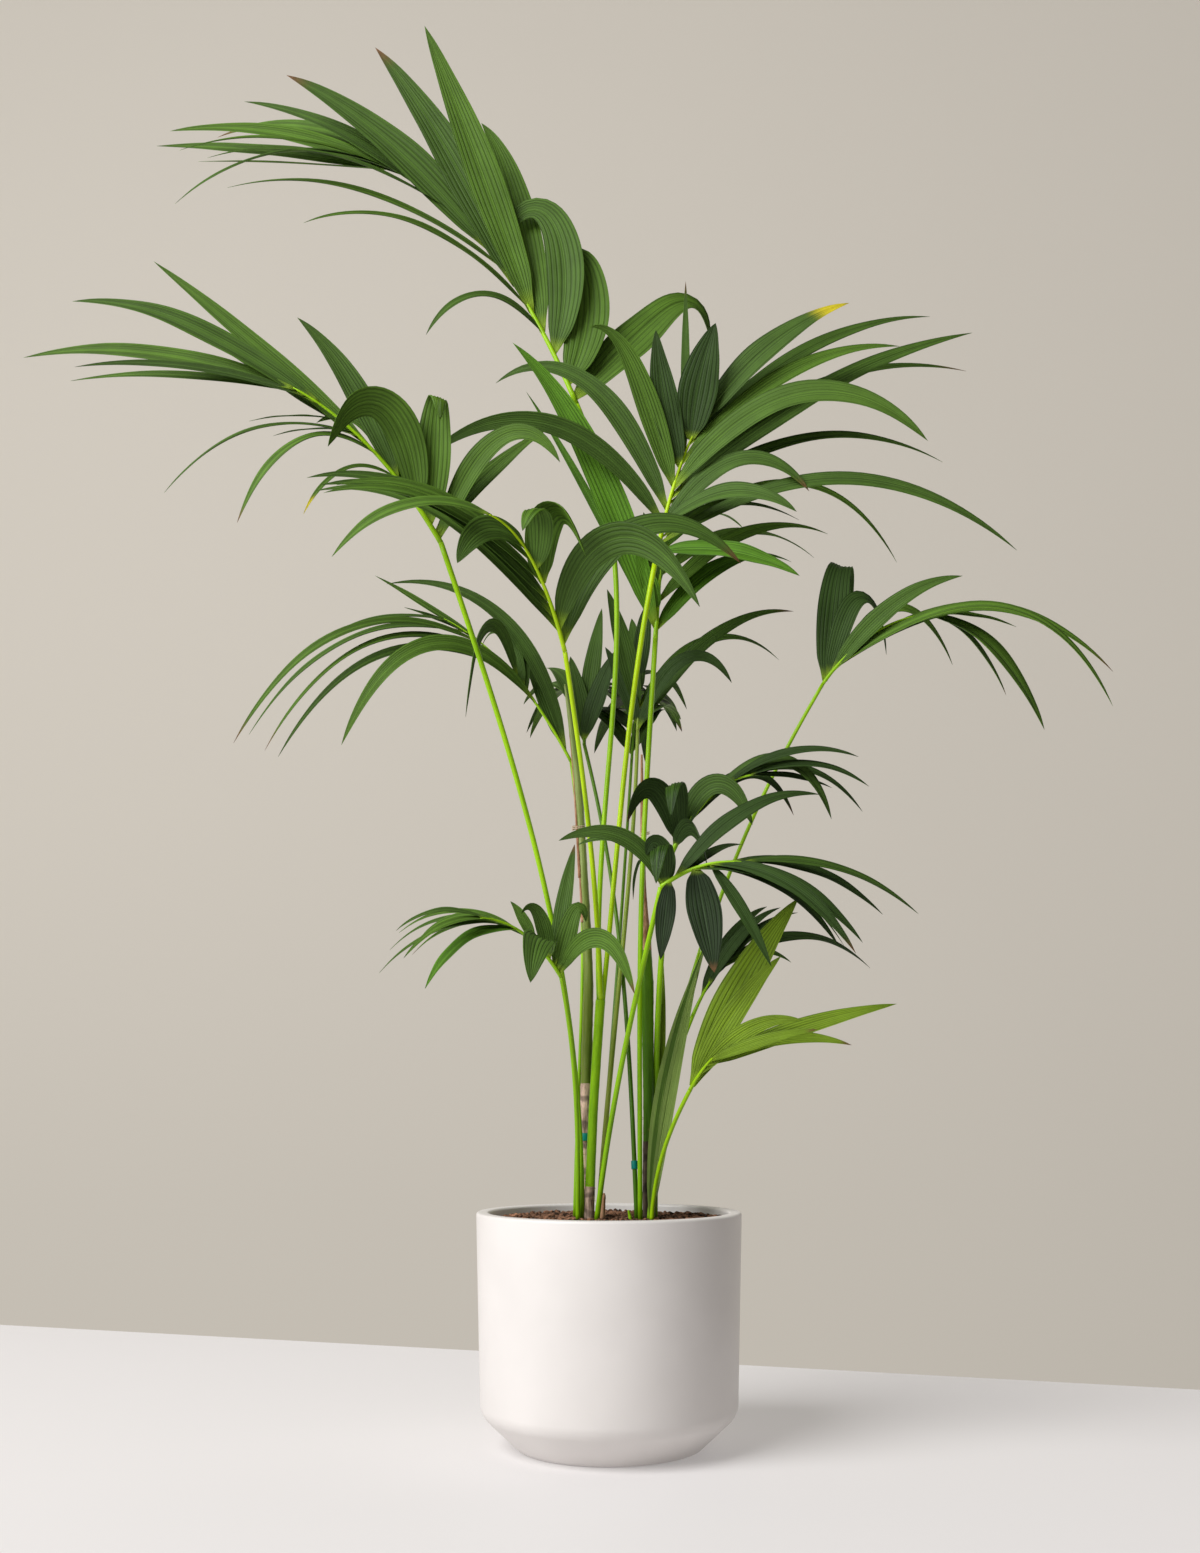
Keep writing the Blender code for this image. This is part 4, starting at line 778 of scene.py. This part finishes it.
bladeCount = 0
for name, frond in fronds.items():
    start = Vector(frond["neck"]) - toward(frond["neckWay"]) * 0.002
    rib = grow(Vector(frond["neck"]) + toward(frond["neckWay"]) * gap,
               frond.get("ribWay", frond["neckWay"]), frond["rib"], frond["ribSag"], 1.0)
    mesh = bmesh.new()
    chance = random.Random(frond["seed"] * 7)
    for rankNumber, n, path, width, face in leafletsOf(name, frond, rib):
        tint = tintOf(name, rankNumber, n, chance)
        wide = width * 1.12 * widerLeaves.get((name, rankNumber), 1)
        leafletBlade(mesh, path, wide, face, slotOfTint[tint],
                     (chance.uniform(9, 16), chance.uniform(0, 6)), bladeCount)
        bladeCount += 1
    blades = addPiece(name.replace("frond_", "leaflets_"), mesh, bladeMaterials, (name,))
    skin = blades.modifiers.new("skin", "SOLIDIFY")
    skin.thickness = leafShape["thickness"]
    skin.offset = -1
    skin.material_offset = 1

    mesh = bmesh.new()
    thick = frond["neckRadius"]
    tube(mesh, rib, Vector((0, 1, 0)).cross(wayAt(rib, 0)).normalized(),
         lambda t: thick * (1.0 - 0.62 * t) * (1 if t < 0.97 else 0.5), 12,
         lambda t, angle: 1 - 0.10 * max(0, math.cos(angle + math.pi / 2)), rows=30)
    addPiece(name.replace("frond_", "rib_"), mesh, [finishes[stalkSkins[name]]], ())

    mesh = bmesh.new()
    foot, neck = frond["footRadius"], frond["neckRadius"]
    points = onStalk(frond)
    tube(mesh, points, Vector((0, 1, 0)).cross(wayAt(points, 0)).normalized(),
         lambda t: foot + (neck - foot) * t, 14,
         lambda t, angle: 1 + 0.03 * math.cos(3 * angle + 1) * (1 - t), rows=48)
    addPiece(name.replace("frond_", "petiole_"), mesh, [finishes[stalkSkins[name]]],
             (name.replace("frond_", "stalk_"),))
print("fronds:", len(fronds), "with", bladeCount, "leaflets")


def stemLine(stem):  # middle line and radius of a stem, bowed through its points
    corners = [Vector(p) for p in stem["path"]]
    corners[0].z += gap
    points, radii = [], []
    steps = 12
    for n in range(len(corners) - 1):
        before, after = corners[max(n - 1, 0)], corners[min(n + 2, len(corners) - 1)]
        a, b = corners[n], corners[n + 1]
        for k in range(steps):
            t = k / steps
            points.append(a.lerp(b, t) + ((a - before) - (after - b)) * (t * (1 - t) * 0.25))
            radii.append(stem["radius"][n] * (1 - t) + stem["radius"][n + 1] * t)
    return points + [corners[-1]], radii + [stem["radius"][-1]]


def evenly(points, radii, count):  # the same line cut into even lengths
    marks = [0.0]
    for a, b in zip(points, points[1:]):
        marks.append(marks[-1] + (b - a).length)
    found, sizes, n = [], [], 0
    for k in range(count + 1):
        want = marks[-1] * k / count
        while n < len(points) - 2 and marks[n + 1] < want:
            n += 1
        t = (want - marks[n]) / (marks[n + 1] - marks[n])
        found.append(points[n].lerp(points[n + 1], t))
        sizes.append(radii[n] + (radii[n + 1] - radii[n]) * t)
    return found, sizes


def barkShape(seed, rough, ringsPerMetre, points):
    def shape(t, angle):
        spot = along(points, t)
        coarse = noise.noise(Vector((math.cos(angle) * 1.6, math.sin(angle) * 1.6, spot.z * 30 + seed)))
        fibre = noise.noise(Vector((math.cos(angle) * 5, math.sin(angle) * 5, spot.z * 12 + seed * 3)))
        scar = max(0.0, math.sin(spot.z * ringsPerMetre * math.tau + coarse)) ** 6
        return 1 + rough * (0.7 * coarse + 0.5 * fibre) + rough * 0.5 * scar
    return shape


for number, (name, stem) in enumerate(stems.items()):
    points, radii = evenly(*stemLine(stem), 160)
    mesh = bmesh.new()
    depth = stem["depth"]
    across = Vector((0, 1, 0)).cross(wayAt(points, 0)).normalized()
    bark = barkShape(number * 5.3, stem["rough"], 38, points)
    faces = tube(mesh, points, across, lambda t: spread(tuple(radii), t), 28,
                 lambda t, angle: bark(t, angle) * (1 + (depth - 1) * abs(math.sin(angle)) ** 1.5), rows=160)
    for face in faces:
        height = face.calc_center_median().z
        face.material_index = 0 if height < stem["barkTo"] else (2 if height > stem["dryFrom"] else 1)
    addPiece(name.replace("stem_", "trunk_"), mesh, [finishes[skin] for skin in stem["skins"]],
             (name,))
print("stems:", len(stems))

# young leaflets that are still folded together; the pale tint most of them take is partly their own paler colour and
# partly painted light, lifted to make up for the shade they stand in
mesh = bmesh.new()
points = [p for p in onStalk(fronds[spear["beside"]], 160) if p.z < spear["top"]]
points.insert(0, points[0] - Vector((0, 0, spear["sunk"])))
for number, (aside, low, high, width, tint) in enumerate(spear["blades"]):
    line = [along(points, low + (high - low) * n / 72) for n in range(73)]
    line = [p + Vector((spear["side"] * (1 - n / 72) + aside * math.sin(math.pi * (n / 72) ** 0.9),
                        -spear["front"] - 0.0010 * number, 0.0005)) for n, p in enumerate(line)]
    leafletBlade(mesh, line, width, 78, slotOfTint[tint], (9, number), bladeCount + number)
low, high, width, tint = spear["single"]
line = [Vector(low).lerp(Vector(high), n / 72) + Vector((0.003 * math.sin(math.pi * n / 72), 0, 0))
        for n in range(73)]
leafletBlade(mesh, line, width, 85, slotOfTint[tint], (9, 1), bladeCount + 9)
spearBlades = addPiece("spear_leaflets", mesh, bladeMaterials, ())
skin = spearBlades.modifiers.new("skin", "SOLIDIFY")
skin.thickness = leafShape["thickness"]
skin.offset = -1
skin.material_offset = 1


def spotOn(name, height):  # middle, way and radius of a stem at a height
    points, radii = stemLine(stems[name])
    n = max(i for i in range(len(points) - 1) if points[i].z <= height)
    t = (height - points[n].z) / (points[n + 1].z - points[n].z)
    way = (points[n + 1] - points[n]).normalized()
    return points[n].lerp(points[n + 1], t), way, radii[n] + (radii[n + 1] - radii[n]) * t


mesh = bmesh.new()
chance = random.Random(17)
for name, (low, high, count) in scraps.items():
    for n in range(count):
        middle, way, radius = spotOn(name, chance.uniform(low, high))
        angle, rise = chance.uniform(0, math.tau), chance.choice((-1, 1)) * chance.uniform(0.0, 0.9)
        long, wide, depth = chance.uniform(0.005, 0.011), chance.uniform(0.0006, 0.0013), stems[name]["depth"]
        level = 1 / math.hypot(1, rise)
        strip = []
        for k in range(6):  # a strip starts under the bark and peels off round the stem
            t = k / 5
            turned, far = angle + long * level * t / radius, radius - 0.0014 + 0.0034 * t * t
            out = Vector((math.cos(turned), math.sin(turned) * depth, 0))
            spot = middle + out * far + way * (long * level * rise * t)
            strip.append([mesh.verts.new(spot + way * (wide * (1 - t * 0.8) * edge) + out * (0.0003 * back))
                          for edge, back in ((-0.5, 0), (0.5, 0), (0.5, 1), (-0.5, 1))])
        for a, b in zip(strip, strip[1:]):
            for i in range(4):
                mesh.faces.new((a[i], a[(i + 1) % 4], b[(i + 1) % 4], b[i]))
        mesh.faces.new(strip[0])
        mesh.faces.new(strip[-1][::-1])
bmesh.ops.recalc_face_normals(mesh, faces=mesh.faces)
for name, low, high, aside in sheathStrips:
    line = [spotOn(name, low + (high - low) * n / 24) for n in range(25)]
    points = [middle + Vector((aside * radius, -0.5 * radius, 0)) for middle, way, radius in line]
    tube(mesh, points, Vector((1, 0, 0)), lambda t: 0.0021 * (1.05 - t) + 0.0003, 8, rows=40)
addPiece("sheath_scraps", mesh, [finishes["drySheath"]], ())

mesh = bmesh.new()
for number, tie in enumerate(ties.values()):
    middle, way, radius = spotOn(tie["around"], tie["height"])
    reach, turns = radius + tie["out"], 2.6
    loop = []
    for n in range(73):
        t = n / 72
        angle = math.tau * turns * t + number
        loop.append(middle + Vector((math.cos(angle) * (reach + 0.0004 * math.sin(5 * angle)) + tie["side"],
                                     math.sin(angle) * reach, -0.006 * t + 0.0022 * math.sin(angle + 0.6))))
    tube(mesh, loop, Vector((0, 0, 1)), lambda t: 0.0007, 6, rows=140)
addPiece("twine_ties", mesh, [finishes["tie"]], ())
print("spear, scraps and ties done")


def lineOf(name):
    return stemLine(stems[name]) if name in stems else (
        onStalk(fronds[name], 48), [fronds[name]["footRadius"]
                                    + (fronds[name]["neckRadius"] - fronds[name]["footRadius"]) * n / 48 for n in range(49)])


for name, tape in tapes.items():
    points, radii = lineOf(tape["around"])
    n = max(i for i in range(len(points) - 1) if points[i].z <= tape["height"])
    t = (tape["height"] - points[n].z) / (points[n + 1].z - points[n].z)
    middle, way = points[n].lerp(points[n + 1], t), (points[n + 1] - points[n]).normalized()
    inner = radii[n] + (radii[n + 1] - radii[n]) * t + gap
    side = Vector((0, 1, 0)).cross(way).normalized()
    mesh = bmesh.new()
    corners = [mesh.verts.new(middle + way * (rise * tape["tall"]) + side * (inner + out))
               for out, rise in ((0, -0.5), (tape["thick"], -0.5), (tape["thick"], 0.5), (0, 0.5))]
    edges = [mesh.edges.new((corners[i], corners[(i + 1) % 4])) for i in range(4)]
    bmesh.ops.bevel(mesh, geom=corners, offset=tape["thick"] * 0.3, affect="VERTICES", segments=2,
                    profile=0.5, material=-1)
    bmesh.ops.spin(mesh, geom=list(mesh.verts) + list(mesh.edges), cent=middle, axis=way,
                   angle=math.tau, steps=40, use_merge=True)
    bmesh.ops.recalc_face_normals(mesh, faces=mesh.faces)
    for face in mesh.faces:
        face.smooth = True
    addPiece(name.replace("tape_", "band_"), mesh, [finishes["tape"]], (name,))

for number, (name, stub) in enumerate(stubs.items()):
    foot = Vector((*stub["foot"], soil["top"] + gap))
    top = Vector((*stub["top"], soil["top"] + stub["height"]))
    points = [foot.lerp(top, n / 12) for n in range(13)]
    mesh = bmesh.new()
    tube(mesh, points, Vector((1, 0, 0)), lambda t: stub["radius"] * (1 - 0.35 * t) * (1 if t < 0.95 else 0.6),
         16, barkShape(number + 40, 0.25, 90, points), rows=24)
    addPiece(name + "_husk", mesh, [finishes[stub["skin"]]], (name,))
print("bands and stubs done")


potSteps = 128
innerFoot = pot["creaseRadius"] - pot["wall"]
mesh = bmesh.new()
outline = [(0, 0), (pot["baseRadius"], 0), (pot["creaseRadius"], pot["creaseHeight"]),
           (pot["rimRadius"], pot["height"]), (pot["mouthRadius"], pot["height"]),
           (innerFoot, pot["creaseHeight"] + 0.006), (pot["baseRadius"] - 0.006, pot["floor"]), (0, pot["floor"])]
verts = [mesh.verts.new((r, 0, z)) for r, z in outline]
for a, b in zip(verts, verts[1:]):
    mesh.edges.new((a, b))
for vert, size, segments in ((verts[1], 0.005, 4), (verts[2], 0.010, 6), (verts[3], 0.0034, 5),
                             (verts[4], 0.0034, 5), (verts[5], 0.006, 4)):
    bmesh.ops.bevel(mesh, geom=[vert], offset=size, affect="VERTICES", segments=segments,
                    profile=0.5, material=-1)
bmesh.ops.spin(mesh, geom=list(mesh.verts) + list(mesh.edges), cent=(0, 0, 0), axis=(0, 0, 1),
               angle=math.tau, steps=potSteps, use_merge=True)
bmesh.ops.remove_doubles(mesh, verts=mesh.verts, dist=0.00001)
bmesh.ops.recalc_face_normals(mesh, faces=mesh.faces)
for face in mesh.faces:
    face.smooth = True
addPiece("planter", mesh, [finishes["pot"]], ("pot",))

mesh = bmesh.new()
slope = (pot["mouthRadius"] - innerFoot) / (pot["height"] - pot["creaseHeight"] - 0.006)
soilRadius = pot["mouthRadius"] - slope * (pot["height"] - soil["top"]) - 0.0008
chance = random.Random(3)
verts = [mesh.verts.new((soilRadius * n / 26, 0, soil["top"] - 0.0012)) for n in range(27)]
low = mesh.verts.new((soilRadius - 0.002, 0, soil["top"] - 0.03))
lowest = mesh.verts.new((0, 0, soil["top"] - 0.03))
for a, b in zip(verts + [low], verts[1:] + [low, lowest]):
    mesh.edges.new((a, b))
bmesh.ops.spin(mesh, geom=list(mesh.verts) + list(mesh.edges), cent=(0, 0, 0), axis=(0, 0, 1),
               angle=math.tau, steps=110, use_merge=True)
bmesh.ops.remove_doubles(mesh, verts=mesh.verts, dist=0.00001)
for vert in mesh.verts:
    if vert.co.z > soil["top"] - 0.01:
        vert.co.z += (noise.noise(vert.co * 90) * 0.0016 + noise.noise(vert.co * 260) * 0.0010)
bmesh.ops.recalc_face_normals(mesh, faces=mesh.faces)
addPiece("potting_mix", mesh, [finishes["soil"]], ("soil",))

mesh = bmesh.new()
for n in range(soil["crumbs"]):
    size = chance.choice((0.0010, 0.0014, 0.0019, 0.0026, 0.0036))
    far, angle = (soilRadius - 0.003) * math.sqrt(chance.random()), chance.uniform(0, math.tau)
    verts = bmesh.ops.create_icosphere(mesh, subdivisions=1, radius=size)["verts"]
    squash = Vector((chance.uniform(0.7, 1.4), chance.uniform(0.7, 1.4), chance.uniform(0.4, 0.8)))
    spot = Vector((far * math.cos(angle), far * math.sin(angle), soil["top"] - 0.0003 + size * 0.2))
    for vert in verts:
        shift = 1 + 0.35 * noise.noise(vert.co * 900 + spot * 100)
        vert.co = spot + Vector(a * b for a, b in zip(vert.co * shift, squash))
addPiece("peat_crumbs", mesh, [finishes["crumb"]], ())
print("pot and soil done")


studio = {
    "eye": (-0.0111, -2.0, 0.411),
    "pitch": 11.8,          # degrees above level
    "focal": 35.88,         # millimetres on a 36 mm sensor along the frame's long side
    "edgeLeft": (-1.13, 1.037),
    "edgeRight": (0.858, 0.376),
    "wallAway": 4.8,
    "keyHeading": -50,      # degrees, the key light's side of the camera, negative to the left
    "keyHeight": 37,        # degrees above level
    "keyAway": 7.0,
    "keySize": 5.4,
    "keyPower": 660,
    "rimHeading": 128,
    "rimHeight": 25,
    "rimAway": 4.2,
    "rimSize": 2.6,
    "rimPower": 13,
}


def plainMaterial(name, colour, roughness, glow=0.0):
    material, tree, shader = newMaterial(name, roughness, 0.3)
    place = addNode(tree, "ShaderNodeTexCoord").outputs["Object"]
    lighter = tuple(min(1, c * 1.02) for c in colour)
    tree.links.new(mixed(tree, noiseAt(tree, place, 1.5, 2.0), colour, lighter), shader.inputs["Base Color"])
    shader.inputs["Emission Color"].default_value = (*colour, 1)
    shader.inputs["Emission Strength"].default_value = glow
    return material


def addStage(name, mesh, material):
    piece = addPiece(name, mesh, [material], stands=None)
    piece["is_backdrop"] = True
    return piece


leftEnd, rightEnd = (Vector((*studio[key], 0)) for key in ("edgeLeft", "edgeRight"))
edge = (rightEnd - leftEnd).normalized()
inwards = Vector((edge.y, -edge.x, 0))
mesh = bmesh.new()
bmesh.ops.create_cube(mesh, size=1)
for vert in mesh.verts:
    vert.co = (leftEnd + edge * (vert.co.x * 9) + inwards * ((vert.co.y + 0.5) * 7)
               + Vector((0, 0, (vert.co.z - 0.5) * 0.04)))
bmesh.ops.recalc_face_normals(mesh, faces=mesh.faces)
addStage("table", mesh, plainMaterial("paleTable", (0.580, 0.562, 0.558), 0.6, 0.38))

mesh = bmesh.new()
bmesh.ops.create_grid(mesh, x_segments=1, y_segments=1, size=9)
for vert in mesh.verts:
    vert.co = Vector((vert.co.x, studio["wallAway"], vert.co.y + 2))
addStage("wall", mesh, plainMaterial("warmGreyWall", (0.325, 0.302, 0.266), 0.9, 1.1))


def addLight(name, heading, height, away, size, power, colour=(1, 1, 1)):
    side, rise = math.radians(heading), math.radians(height)
    way = Vector((math.sin(side) * math.cos(rise), -math.cos(side) * math.cos(rise), math.sin(rise)))
    data = bpy.data.lights.new(name, "AREA")
    data.shape = "DISK"
    data.size = size
    data.energy = power
    data.color = colour
    light = bpy.data.objects.new(name, data)
    bpy.context.scene.collection.objects.link(light)
    light.location = Vector((0, 0, 0.5)) + way * away
    light.rotation_mode = "QUATERNION"
    light.rotation_quaternion = way.to_track_quat("Z", "Y")
    light.visible_camera = False


for name in ("key", "rim"):
    addLight(name + "Softbox", *(studio[name + key] for key in ("Heading", "Height", "Away", "Size", "Power")))

world = bpy.data.worlds.new("studioAir")
bpy.context.scene.world = world
world.use_nodes = True
air = world.node_tree.nodes["Background"]
air.inputs["Color"].default_value = (1.0, 0.93, 0.86, 1)
air.inputs["Strength"].default_value = 0.13
bpy.context.scene.view_settings.view_transform = "Standard"

lens = bpy.data.cameras.new("camera")
lens.sensor_width = 36
lens.lens = studio["focal"]
camera = bpy.data.objects.new("camera", lens)
bpy.context.scene.collection.objects.link(camera)
camera.location = studio["eye"]
camera.rotation_euler = (math.radians(90 + studio["pitch"]), 0, 0)
bpy.context.scene.camera = camera
print("studio done")

low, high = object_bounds()
{"solids": [list(solidLow), list(solidHigh)], "looks": [list(low), list(high)]}
